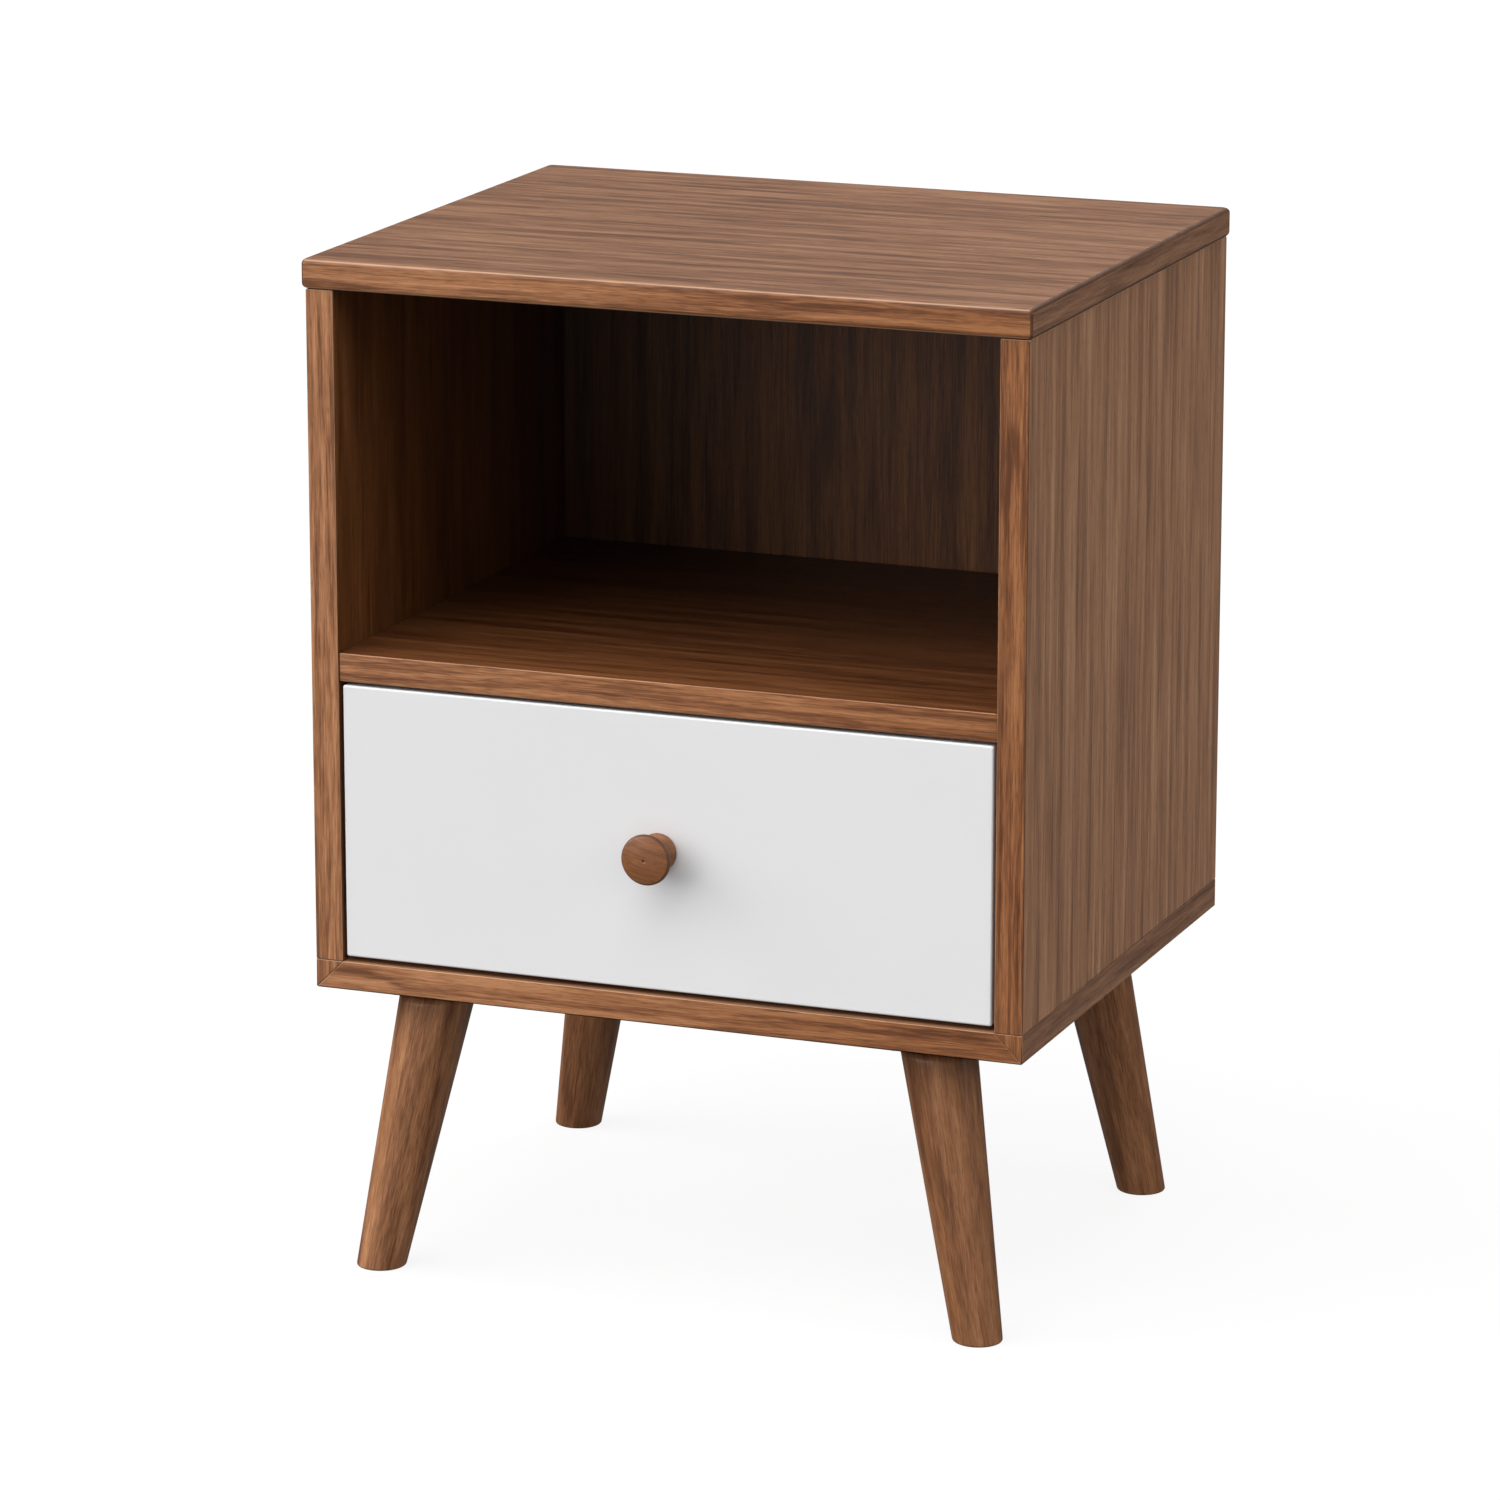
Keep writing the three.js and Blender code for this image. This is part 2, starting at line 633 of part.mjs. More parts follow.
// Pan-head screw from inside the drawer, through the front, into the knob.
function knobScrew() {
  const headRear = FRONT_REAR + GAP + KNOB_SCREW_HEAD_HEIGHT;
  const tip = KNOB_BASE_Y - KNOB_SCREW_IN_KNOB + GAP;
  const profile = [
    [0, 0],
    [KNOB_SCREW_HEAD_RADIUS - KNOB_SCREW_HEAD_ROUND, 0],
    [KNOB_SCREW_HEAD_RADIUS, KNOB_SCREW_HEAD_ROUND],
    [KNOB_SCREW_HEAD_RADIUS, KNOB_SCREW_HEAD_HEIGHT],
    [KNOB_SCREW_RADIUS, KNOB_SCREW_HEAD_HEIGHT],
    [KNOB_SCREW_RADIUS, headRear - tip],
    [0, headRear - tip],
  ];
  return turned(profile, SCREW_SEGMENTS).rotateZ(Math.PI).translate(KNOB_X, headRear, KNOB_Z);
}

function buildDrawer(group) {
  piece(group, 'drawer_front', drawerFront(), whitePaint());
  piece(group, 'drawer_back', drawerBack(), paleBoard());
  piece(group, 'drawer_floor', drawerFloor(), paleBoard());
  piece(group, 'drawer_knob', knob(), walnut());
  piece(group, 'knob_screw', knobScrew(), zincSteel());
  for (const { name, sign } of SIDES) {
    piece(group, `drawer_side_${name}`, drawerSide(sign), paleBoard());
  }
}

// ---- runners ---------------------------------------------------------------------------------

// Distance out from a side panel's inner face, as an x value.
function fromSide(sign, distance) {
  return sign * (INNER_HALF - distance);
}

function cabinetScrewHole(sign, y) {
  return bar(
    [fromSide(sign, CUT), y, CABINET_SCREW_Z],
    [fromSide(sign, -CABINET_SCREW_LENGTH), y, CABINET_SCREW_Z],
    SCREW_RADIUS + GAP,
    SCREW_RADIUS + GAP,
    SMALL_HOLE_SEGMENTS,
  );
}

function drawerScrewHole(sign, y) {
  const head = DRAWER_RUNNER_BOTTOM - GAP;
  return bar(
    [sign * DRAWER_SCREW_X, y, DRAWER_RUNNER_BOTTOM - CUT],
    [sign * DRAWER_SCREW_X, y, head + DRAWER_SCREW_LENGTH + GAP],
    SCREW_RADIUS + GAP,
    SCREW_RADIUS + GAP,
    SMALL_HOLE_SEGMENTS,
  );
}

// A C-section rail screwed to the side panel. Its upper flange stops short of the roller in front.
function cabinetRunner(sign) {
  const bottom = CABINET_RUNNER_BOTTOM;
  const top = bottom + CABINET_RUNNER_HEIGHT;
  const near = GAP;
  const outline = [
    [near, bottom],
    [CABINET_RUNNER_REACH, bottom],
    [CABINET_RUNNER_REACH, bottom + STEEL],
    [near + STEEL, bottom + STEEL],
    [near + STEEL, top - STEEL],
    [CABINET_RUNNER_REACH, top - STEEL],
    [CABINET_RUNNER_REACH, top],
    [near, top],
  ].map(([distance, z]) => [fromSide(sign, distance), z]);
  const rail = runAlongY(outline, CABINET_RUNNER_FRONT, CABINET_RUNNER_FRONT + RUNNER_LENGTH);
  const rollerRoom = block(
    [fromSide(sign, near + STEEL), fromSide(sign, CABINET_RUNNER_REACH + CUT)],
    [0, CABINET_ROLLER_Y + ROLLER_RADIUS + ROLLER_ROOM],
    [top - 2 * STEEL, top + CUT],
  );
  const cutters = [rollerRoom];
  for (const y of CABINET_SCREW_PLACES) {
    cutters.push(cabinetScrewHole(sign, y));
  }
  return carve(rail, cutters);
}

// A Z-section rail under the edge of the drawer's side. Its upper flange runs on the cabinet roller.
function drawerRunner(sign) {
  const bottom = DRAWER_RUNNER_BOTTOM;
  const top = DRAWER_RUNNER_TOP;
  const near = RUNNER_SPACE - GAP - STEEL;
  const far = RUNNER_SPACE - GAP;
  const outline = [
    [near, bottom],
    [near + DRAWER_RUNNER_UNDER, bottom],
    [near + DRAWER_RUNNER_UNDER, bottom + STEEL],
    [far, bottom + STEEL],
    [far, top],
    [far - DRAWER_RUNNER_OVER - STEEL, top],
    [far - DRAWER_RUNNER_OVER - STEEL, top - STEEL],
    [near, top - STEEL],
  ].map(([distance, z]) => [fromSide(sign, distance), z]);
  const rail = runAlongY(outline, DRAWER_RUNNER_FRONT, DRAWER_RUNNER_FRONT + RUNNER_LENGTH);
  return carve(rail, DRAWER_SCREW_PLACES.map((y) => drawerScrewHole(sign, y)));
}

// A nylon wheel with a shallow hub on both faces, on an axis along X.
function roller(sign, y, z) {
  const bore = AXLE_RADIUS + GAP;
  const half = [
    [bore, 0],
    [ROLLER_HUB_RADIUS, 0],
    [ROLLER_HUB_RADIUS + ROLLER_DISH / 2, ROLLER_DISH],
    [ROLLER_RADIUS - ROLLER_EDGE, ROLLER_DISH],
    [ROLLER_RADIUS, ROLLER_DISH + ROLLER_EDGE],
  ];
  const otherHalf = half.map(([radius, height]) => [radius, ROLLER_WIDTH - height]).reverse();
  const profile = [...half, ...otherHalf, half[0]];
  const geometry = turned(profile, ROLLER_SEGMENTS);
  geometry.translate(0, -ROLLER_WIDTH / 2, 0);
  geometry.rotateZ(Math.PI / 2);
  return geometry.translate(fromSide(sign, ROLLER_OFFSET + ROLLER_WIDTH / 2), y, z);
}

// A shouldered pin. Its flange sits against the rail that carries it and its head holds the roller.
function axle(sign, y, z, flangeAt, headAt) {
  const way = Math.sign(headAt - flangeAt);
  const rollerNear = ROLLER_OFFSET - GAP;
  const rollerFar = ROLLER_OFFSET + ROLLER_WIDTH + GAP;
  const flangeEnd = way > 0 ? rollerNear : rollerFar;
  const headStart = way > 0 ? rollerFar : rollerNear;
  const length = Math.abs(headAt - flangeAt);
  const profile = [
    [0, 0],
    [AXLE_FLANGE_RADIUS, 0],
    [AXLE_FLANGE_RADIUS, Math.abs(flangeEnd - flangeAt)],
    [AXLE_RADIUS, Math.abs(flangeEnd - flangeAt)],
    [AXLE_RADIUS, Math.abs(headStart - flangeAt)],
    [AXLE_FLANGE_RADIUS, Math.abs(headStart - flangeAt)],
    [AXLE_FLANGE_RADIUS, length],
    [0, length],
  ];
  const geometry = turned(profile, AXLE_SEGMENTS);
  const towardsMiddle = -sign * way;
  geometry.rotateZ(-towardsMiddle * Math.PI / 2);
  return geometry.translate(fromSide(sign, flangeAt), y, z);
}

function cabinetAxle(sign) {
  const head = DRAWER_RAIL_FACE - GAP;
  return axle(sign, CABINET_ROLLER_Y, CABINET_ROLLER_Z, CABINET_RAIL_FACE, head);
}

function drawerAxle(sign) {
  const head = ROLLER_OFFSET - GAP - AXLE_HEAD_HEIGHT;
  return axle(sign, DRAWER_ROLLER_Y, DRAWER_ROLLER_Z, DRAWER_RAIL_FACE, head);
}

function screw(length, radius) {
  return turned([
    [0, 0],
    [SCREW_HEAD_RADIUS - SCREW_HEAD_ROUND, 0],
    [SCREW_HEAD_RADIUS, SCREW_HEAD_ROUND],
    [SCREW_HEAD_RADIUS, SCREW_HEAD_HEIGHT],
    [radius, SCREW_HEAD_HEIGHT],
    [radius, SCREW_HEAD_HEIGHT + length - SCREW_POINT],
    [0, SCREW_HEAD_HEIGHT + length],
  ], SCREW_SEGMENTS);
}

function cabinetScrew(sign, y) {
  const geometry = screw(CABINET_SCREW_LENGTH, SCREW_RADIUS);
  geometry.rotateZ(-sign * Math.PI / 2);
  return geometry.translate(fromSide(sign, CABINET_RAIL_FACE + SCREW_HEAD_HEIGHT), y, CABINET_SCREW_Z);
}

function drawerScrew(sign, y) {
  const geometry = screw(DRAWER_SCREW_LENGTH, SCREW_RADIUS);
  geometry.rotateX(Math.PI / 2);
  return geometry.translate(sign * DRAWER_SCREW_X, y, DRAWER_RUNNER_BOTTOM - GAP - SCREW_HEAD_HEIGHT);
}

function buildRunners(group) {
  for (const { name, sign } of SIDES) {
    piece(group, `cabinet_runner_${name}`, cabinetRunner(sign), paintedSteel());
    piece(group, `drawer_runner_${name}`, drawerRunner(sign), paintedSteel());
    piece(group, `cabinet_roller_${name}`, roller(sign, CABINET_ROLLER_Y, CABINET_ROLLER_Z), nylon());
    piece(group, `drawer_roller_${name}`, roller(sign, DRAWER_ROLLER_Y, DRAWER_ROLLER_Z), nylon());
    piece(group, `cabinet_roller_axle_${name}`, cabinetAxle(sign), zincSteel());
    piece(group, `drawer_roller_axle_${name}`, drawerAxle(sign), zincSteel());
    CABINET_SCREW_PLACES.forEach((y, index) => {
      const place = index === 0 ? 'front' : 'rear';
      piece(group, `cabinet_runner_screw_${name}_${place}`, cabinetScrew(sign, y), zincSteel());
    });
    DRAWER_SCREW_PLACES.forEach((y, index) => {
      const place = index === 0 ? 'front' : 'rear';
      piece(group, `drawer_runner_screw_${name}_${place}`, drawerScrew(sign, y), zincSteel());
    });
  }
}

// ---- the whole table -------------------------------------------------------------------------

const table = new THREE.Group();
const cabinetFrame = new THREE.Group();
cabinetFrame.position.set(0, CABINET_FRONT, LEG_HEIGHT);
table.add(cabinetFrame);

for (const build of [buildCabinet, buildLegs, buildDrawer, buildRunners]) {
  const group = new THREE.Group();
  build(group);
  cabinetFrame.add(group);
}

export default table;
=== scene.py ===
"""The looks of a small walnut side table: an open shelf over one white drawer, on four splayed legs.

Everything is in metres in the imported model's frame: +Z up, the floor at z = 0, the front towards -Y.
Boards, legs, knob, drawer box and rollers are remade here as fine meshes over their CAD solids;
the bent steel, axles, dowels, bolts and other screws keep their CAD meshes and get a finish.
The leg plates' screws are made here alone.
"""
import math
import random

import bmesh
import bpy
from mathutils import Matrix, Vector


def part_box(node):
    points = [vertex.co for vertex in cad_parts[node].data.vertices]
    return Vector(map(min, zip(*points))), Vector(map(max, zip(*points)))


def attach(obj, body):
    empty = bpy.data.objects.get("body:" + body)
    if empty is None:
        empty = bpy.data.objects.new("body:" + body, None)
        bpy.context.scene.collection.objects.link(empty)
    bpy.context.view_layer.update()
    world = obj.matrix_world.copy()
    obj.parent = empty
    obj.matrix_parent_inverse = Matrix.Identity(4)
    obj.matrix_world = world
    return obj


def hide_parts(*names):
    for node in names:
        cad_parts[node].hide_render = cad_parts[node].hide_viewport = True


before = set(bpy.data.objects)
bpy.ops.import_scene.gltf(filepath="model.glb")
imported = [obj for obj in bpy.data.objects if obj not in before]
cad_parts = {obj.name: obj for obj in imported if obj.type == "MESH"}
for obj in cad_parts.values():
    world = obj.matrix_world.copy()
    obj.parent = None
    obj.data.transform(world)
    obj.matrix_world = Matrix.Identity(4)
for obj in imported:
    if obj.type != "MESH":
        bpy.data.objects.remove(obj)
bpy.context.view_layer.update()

MM = 0.001
X, Y, Z = 0, 1, 2

# ---- driving numbers ---------------------------------------------------------------------------

CAMERA_AIM = (-0.002, -0.023, 0.276)
CAMERA_DISTANCE = 3.6
CAMERA_AZIMUTH = math.radians(21.35)  # round to the right of the front
CAMERA_ELEVATION = math.radians(14.2)
CAMERA_LENS = 160.2
CAMERA_SENSOR = 36.0

TOP_EDGE = 2.8 * MM  # rounding of the top panel's long edges
TOP_CORNER = 2.2 * MM
BOARD_ARRIS = 0.55 * MM
SHELF_ARRIS = 0.8 * MM
THIN_ARRIS = 0.3 * MM
CORNER_CHAMFER = 0.5 * MM  # outer bottom corner of the cabinet, shared by strip and bottom panel
FRONT_EDGE = 1.1 * MM  # rounding of the white drawer front
MITRE_ARRIS = 0.15 * MM  # of the bottom panel's ends and the corner strips
MITRE_GAP = 0.12 * MM  # between the bottom panel and each strip
EDGE_STEPS = 6  # even, so that one ring of points runs along the middle of an edge
CORNER_STEPS = 4

FLOOR_SIZE = 60.0
FLOOR_GLOW = 0.88  # a lightbox floor: white in itself, so that shadows on it stay faint
AMBIENT = 0.16

SHADE_AND_TINT_REACH = 0.18  # from the middle to where the tint ramp ends; on the cabinet's inside the ramp is painted shade
FLAT = 0.99  # a normal this far along an axis belongs to a flat face
SQUARE = 0.1  # a normal with less than this along an axis is square to it

SEED = 11


# ---- small helpers -----------------------------------------------------------------------------

draw = random.Random(SEED)


def seed_offset():
    """A place of its own in the wood for each face of each board."""
    return Vector([draw.uniform(-40.0, 40.0) for _ in range(3)])


def node_box(node):
    low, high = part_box(node)
    return Vector(low), Vector(high)


# ---- node helpers ------------------------------------------------------------------------------

class Shader:
    """A material's node tree with short ways to add the nodes used below."""

    def __init__(self, name):
        self.material = bpy.data.materials.new(name)
        self.material.use_nodes = True
        self.tree = self.material.node_tree
        self.tree.nodes.clear()

    def add(self, kind, inputs=None, **settings):
        node = self.tree.nodes.new(kind)
        for key, value in settings.items():
            setattr(node, key, value)
        for key, value in (inputs or {}).items():
            self.put(node.inputs[key], value)
        return node

    def put(self, socket, value):
        if isinstance(value, bpy.types.NodeSocket):
            self.tree.links.new(value, socket)
        else:
            socket.default_value = value

    def math(self, operation, first, second=0.0, third=0.0, clamp=False):
        values = {0: first, 1: second, 2: third}
        node = self.add("ShaderNodeMath", values, operation=operation, use_clamp=clamp)
        return node.outputs[0]

    def vector(self, operation, first, second):
        node = self.add("ShaderNodeVectorMath", {0: first, 1: second}, operation=operation)
        return node.outputs[0]

    def stretch(self, place, along, across):
        """Places in the wood for a noise with so many waves per metre along and across the grain."""
        return self.vector("MULTIPLY", place, (along, across, across))

    def noise(self, place, scale=1.0, detail=2.0, roughness=0.5, distortion=0.0):
        node = self.add(
            "ShaderNodeTexNoise",
            {
                "Vector": place,
                "Scale": scale,
                "Detail": detail,
                "Roughness": roughness,
                "Distortion": distortion,
            },
        )
        return node.outputs[0]

    def line_noise(self, place, detail, roughness):
        node = self.add(
            "ShaderNodeTexNoise",
            {"W": place, "Scale": 1.0, "Detail": detail, "Roughness": roughness},
            noise_dimensions="1D",
        )
        return node.outputs[0]

    def remap(self, value, low, high, new_low=0.0, new_high=1.0):
        node = self.add(
            "ShaderNodeMapRange",
            {"Value": value, "From Min": low, "From Max": high, "To Min": new_low, "To Max": new_high},
        )
        return node.outputs[0]

    def ramp(self, value, stops):
        node = self.add("ShaderNodeValToRGB", {"Fac": value})
        elements = node.color_ramp.elements
        while len(elements) < len(stops):
            elements.new(0.5)
        for element, (place, colour) in zip(elements, stops):
            element.position = place
            element.color = (*colour, 1.0)
        return node.outputs[0]

    def blend(self, factor, first, second, how="MIX"):
        node = self.add("ShaderNodeMix", data_type="RGBA", blend_type=how)
        self.put(node.inputs[0], factor)
        self.put(node.inputs[6], first)
        self.put(node.inputs[7], second)
        return node.outputs[2]

    def spread(self, base, noise, gain):
        """Adds a noise to a value, as much above its middle as below."""
        centred = self.math("SUBTRACT", noise, 0.5)
        return self.math("MULTIPLY_ADD", centred, gain, base)

    def bump(self, height, distance, strength=1.0):
        node = self.add("ShaderNodeBump", {"Height": height, "Distance": distance, "Strength": strength})
        return node.outputs[0]

    def finish(self, inputs):
        shader = self.add("ShaderNodeBsdfPrincipled", inputs)
        output = self.add("ShaderNodeOutputMaterial")
        self.tree.links.new(shader.outputs[0], output.inputs[0])
        return self.material


# ---- materials ---------------------------------------------------------------------------------

WALNUT_DARK = (0.115, 0.047, 0.022)
WALNUT_MID = (0.262, 0.122, 0.062)
WALNUT_LIGHT = (0.390, 0.205, 0.115)
# Colour of the paler arris middles: partly wear, partly a painted highlight.
WORN_AND_HIGHLIGHT = (0.66, 0.47, 0.35)
PORE = (0.070, 0.028, 0.013)

SLOW_BEND = 0.060  # m that the growth lines wander over the length of a board
QUICK_BEND = 0.0060  # and from one hand's breadth to the next
LATE_SHARPNESS = 5.0  # the higher, the thinner the dark line at a year's end
LATE_STRENGTH = 0.30
GROWTH_GAIN = 0.55
BAND_GAIN = 1.35
FIBRE_GAIN = 0.85
PATCH_GAIN = 0.18
PORE_DARKNESS = 0.45
PORE_ROUGHNESS = 0.12


def tinted(colour, tint):
    return tuple(channel * factor for channel, factor in zip(colour, tint))


def walnut(name, tint=(1.0, 1.0, 1.0), wave=1.0, density=75.0, lines=1.0, streak=1.0, fine=1.0,
           figured=0.4, contrast=1.0, shade_and_tint_ramp=None, roughness=0.42, wear_and_highlight=1.0):
    """Lacquered walnut. The mesh's grain attribute says where a point is in the wood: x along the
    grain, y across it, z into it, in metres. density is growth lines per metre and lines their
    strength, streak stretches the short figure along the grain and fine narrows it across, figured
    is how dark its lenses are. The tint ramp is an axis and the tints of the cabinet's low and high
    ends along it; where it darkens the inside towards the back or towards one end, it is painted shade.
    The arris setting is how much paler the middle of a rounded arris is: partly wear and partly a
    painted highlight."""
    s = Shader(name)
    place = s.add("ShaderNodeAttribute", attribute_name="grain").outputs["Vector"]

    # Slow waves bend the growth lines; their across-grain position is then read as a line pattern.
    slow = s.noise(s.stretch(place, 1.8, 8.0), detail=1.0)
    quick = s.noise(s.stretch(place, 9.0, 48.0), detail=2.0)
    across = s.add("ShaderNodeSeparateXYZ", {0: place}).outputs[1]
    bent = s.math("MULTIPLY_ADD", slow, SLOW_BEND * wave, across)
    bent = s.math("MULTIPLY_ADD", quick, QUICK_BEND * wave, bent)
    growth = s.line_noise(s.math("MULTIPLY", bent, density), detail=5.0, roughness=0.66)
    # A thin dark line where each year's growth ends, fainter in some years than in others.
    year = s.math("MULTIPLY_ADD", growth, 2.2, s.math("MULTIPLY", bent, 0.9 * density))
    late = s.math("POWER", s.math("FRACT", year), LATE_SHARPNESS)
    years = s.line_noise(s.math("MULTIPLY", bent, 31.0), detail=1.0, roughness=0.5)
    strength = s.math("MULTIPLY", s.remap(years, 0.4, 0.7), LATE_STRENGTH * lines)
    late = s.math("MULTIPLY", late, strength, clamp=True)

    # Bands that break up into ever shorter streaks, lens-shaped figure, fine fibres and pores.
    long = 1.0 / streak
    bands = s.noise(s.stretch(place, 6.0 * long, 120.0 * fine), detail=4.0, roughness=0.68)
    figure = s.noise(s.stretch(place, 10.0 * long, 85.0 * fine), detail=3.0, distortion=0.5)
    fibres = s.noise(s.stretch(place, 42.0 * long, 1300.0), detail=2.0, roughness=0.6)
    pores = s.noise(s.stretch(place, 130.0, 2600.0), detail=1.0)
    pore_mask = s.remap(pores, 0.58, 0.72)
    patches = s.noise(s.stretch(place, 3.0, 11.0), detail=2.0)

    tone = s.spread(0.5, growth, GROWTH_GAIN * contrast * lines)
    tone = s.spread(tone, bands, BAND_GAIN * contrast)
    tone = s.spread(tone, fibres, FIBRE_GAIN * contrast)
    tone = s.spread(tone, patches, PATCH_GAIN * contrast)
    colour = s.ramp(tone, [
        (0.0, tinted(WALNUT_DARK, tint)),
        (0.5, tinted(WALNUT_MID, tint)),
        (1.0, tinted(WALNUT_LIGHT, tint)),
    ])
    shade = s.math("MULTIPLY", s.remap(figure, 0.56, 0.74), figured * contrast, clamp=True)
    colour = s.blend(shade, colour, (*tinted(WALNUT_DARK, tint), 1.0))
    colour = s.blend(late, colour, (*tinted(WALNUT_DARK, tint), 1.0))
    colour = s.blend(s.math("MULTIPLY", pore_mask, PORE_DARKNESS), colour, (*tinted(PORE, tint), 1.0))
    # A tint ramp along one axis of the cabinet. On the inner faces, the shelf and the back it is painted
    # shade, darker deeper inside; on the edge bands it only makes one end lighter than the other.
    if shade_and_tint_ramp:
        axis, low_tint, high_tint = shade_and_tint_ramp
        inside = s.add("ShaderNodeTexCoord").outputs["Object"]
        along = s.add("ShaderNodeSeparateXYZ", {0: inside}).outputs[axis]
        ends = s.blend(s.remap(along, -SHADE_AND_TINT_REACH, SHADE_AND_TINT_REACH), (*low_tint, 1.0), (*high_tint, 1.0))
        colour = s.blend(1.0, colour, ends, "MULTIPLY")
    # The middle of a rounded arris is paler: partly wear, partly a painted highlight where the rounded edge
    # catches the light.
    arris = s.add("ShaderNodeAttribute", attribute_name="arris").outputs["Fac"]
    wear_and_highlight_mix = s.math("MULTIPLY", arris, s.remap(patches, 0.3, 0.7, 0.35 * wear_and_highlight, 0.80 * wear_and_highlight))
    colour = s.blend(wear_and_highlight_mix, colour, (*tinted(WORN_AND_HIGHLIGHT, tint), 1.0))

    shine = s.spread(roughness, bands, 0.20)
    shine = s.math("MULTIPLY_ADD", pore_mask, PORE_ROUGHNESS, shine)
    height = s.math("SUBTRACT", s.math("MULTIPLY", fibres, 0.35), pore_mask)
    return s.finish({
        "Base Color": colour,
        "Roughness": shine,
        "Normal": s.bump(height, 0.03 * MM, 0.6),
        "IOR": 1.45,
        "Specular IOR Level": 0.4,
    })


def white_lacquer():
    s = Shader("white_lacquer")
    place = s.add("ShaderNodeTexCoord").outputs["Object"]
    peel = s.noise(place, scale=420.0, detail=2.0)
    cloud = s.noise(place, scale=9.0, detail=3.0)
    colour = s.ramp(cloud, [(0.25, (0.768, 0.766, 0.776)), (0.75, (0.792, 0.788, 0.794))])
    return s.finish({
        "Base Color": colour,
        "Roughness": s.remap(cloud, 0.3, 0.7, 0.36, 0.43),
        "Normal": s.bump(peel, 0.02 * MM, 0.4),
        "IOR": 1.45,
    })


def pale_board():
    """Foil-faced drawer board, with a faint birch figure along the board."""
    s = Shader("pale_board")
    place = s.add("ShaderNodeAttribute", attribute_name="grain").outputs["Vector"]
    waves = s.noise(s.stretch(place, 3.0, 22.0), detail=2.0)
    fine = s.noise(s.stretch(place, 25.0, 700.0), detail=3.0)
    tone = s.math("MULTIPLY_ADD", fine, 0.45, s.math("MULTIPLY", waves, 0.55))
    colour = s.ramp(tone, [
        (0.3, (0.50, 0.37, 0.23)),
        (0.55, (0.60, 0.47, 0.31)),
        (0.75, (0.68, 0.55, 0.39)),
    ])
    return s.finish({
        "Base Color": colour,
        "Roughness": s.remap(fine, 0.3, 0.7, 0.52, 0.66),
        "Normal": s.bump(fine, 0.03 * MM, 0.4),
        "IOR": 1.46,
    })


def beech():
    s = Shader("beech_dowel")
    place = s.add("ShaderNodeTexCoord").outputs["Object"]
    flecks = s.noise(place, scale=900.0, detail=2.0)
    rings = s.noise(place, scale=160.0, detail=3.0)
    colour = s.blend(flecks, s.ramp(rings, [(0.3, (0.52, 0.33, 0.17)), (0.7, (0.64, 0.44, 0.25))]),
                     (0.44, 0.26, 0.13, 1.0))
    return s.finish({"Base Color": colour, "Roughness": 0.7, "Normal": s.bump(rings, 0.05 * MM, 0.5)})


def painted_steel():
    """Cream powder coat on the runners, thin and grey where it has rubbed."""
    s = Shader("painted_steel")
    place = s.add("ShaderNodeTexCoord").outputs["Object"]
    grit = s.noise(place, scale=1500.0, detail=2.0)
    rub = s.noise(s.vector("MULTIPLY", place, (1.0, 0.12, 1.0)), scale=240.0, detail=4.0)
    colour = s.blend(s.remap(rub, 0.58, 0.80), (0.74, 0.72, 0.66, 1.0), (0.50, 0.49, 0.46, 1.0))
    return s.finish({
        "Base Color": colour,
        "Roughness": s.remap(grit, 0.2, 0.8, 0.32, 0.46),
        "Normal": s.bump(grit, 0.02 * MM, 0.5),
        "IOR": 1.5,
    })


def zinc_steel():
    s = Shader("zinc_steel")
    place = s.add("ShaderNodeTexCoord").outputs["Object"]
    spangle = s.noise(place, scale=520.0, detail=3.0, distortion=0.6)
    scratch = s.noise(s.vector("MULTIPLY", place, (1.0, 0.05, 1.0)), scale=3000.0, detail=1.0)
    colour = s.ramp(spangle, [(0.3, (0.47, 0.48, 0.49)), (0.7, (0.66, 0.67, 0.68))])
    return s.finish({
        "Base Color": colour,
        "Metallic": 1.0,
        "Roughness": s.math("MULTIPLY_ADD", scratch, 0.14, s.remap(spangle, 0.3, 0.7, 0.24, 0.36)),
        "Normal": s.bump(scratch, 0.01 * MM, 0.4),
    })


def nylon():
    s = Shader("nylon")
    place = s.add("ShaderNodeTexCoord").outputs["Object"]
    cloud = s.noise(place, scale=300.0, detail=3.0)
    colour = s.ramp(cloud, [(0.3, (0.76, 0.75, 0.71)), (0.7, (0.84, 0.83, 0.80))])
    return s.finish({
        "Base Color": colour,
        "Roughness": s.remap(cloud, 0.3, 0.7, 0.38, 0.50),
        "Normal": s.bump(cloud, 0.02 * MM, 0.4),
        "Subsurface Weight": 0.1,
    })


def floor_white():
    s = Shader("studio_floor")
    place = s.add("ShaderNodeTexCoord").outputs["Object"]
    cloud = s.noise(place, scale=3.0, detail=2.0)
    colour = s.ramp(cloud, [(0.3, (0.100, 0.100, 0.100)), (0.7, (0.105, 0.105, 0.105))])
    paper = s.add("ShaderNodeBsdfPrincipled", {
        "Base Color": colour,
        "Roughness": 0.9,
        "Specular IOR Level": 0.0,
        "Emission Color": (1.0, 1.0, 1.0, 1.0),
        "Emission Strength": FLOOR_GLOW,
    })
    # The paper is one-sided: from below it is clear, so that the table's underside can be seen.
    clear = s.add("ShaderNodeBsdfTransparent")
    below = s.add("ShaderNodeNewGeometry").outputs["Backfacing"]
    sides = s.add("ShaderNodeMixShader", {0: below, 1: paper.outputs[0], 2: clear.outputs[0]})
    output = s.add("ShaderNodeOutputMaterial")
    s.tree.links.new(sides.outputs[0], output.inputs[0])
    return s.material


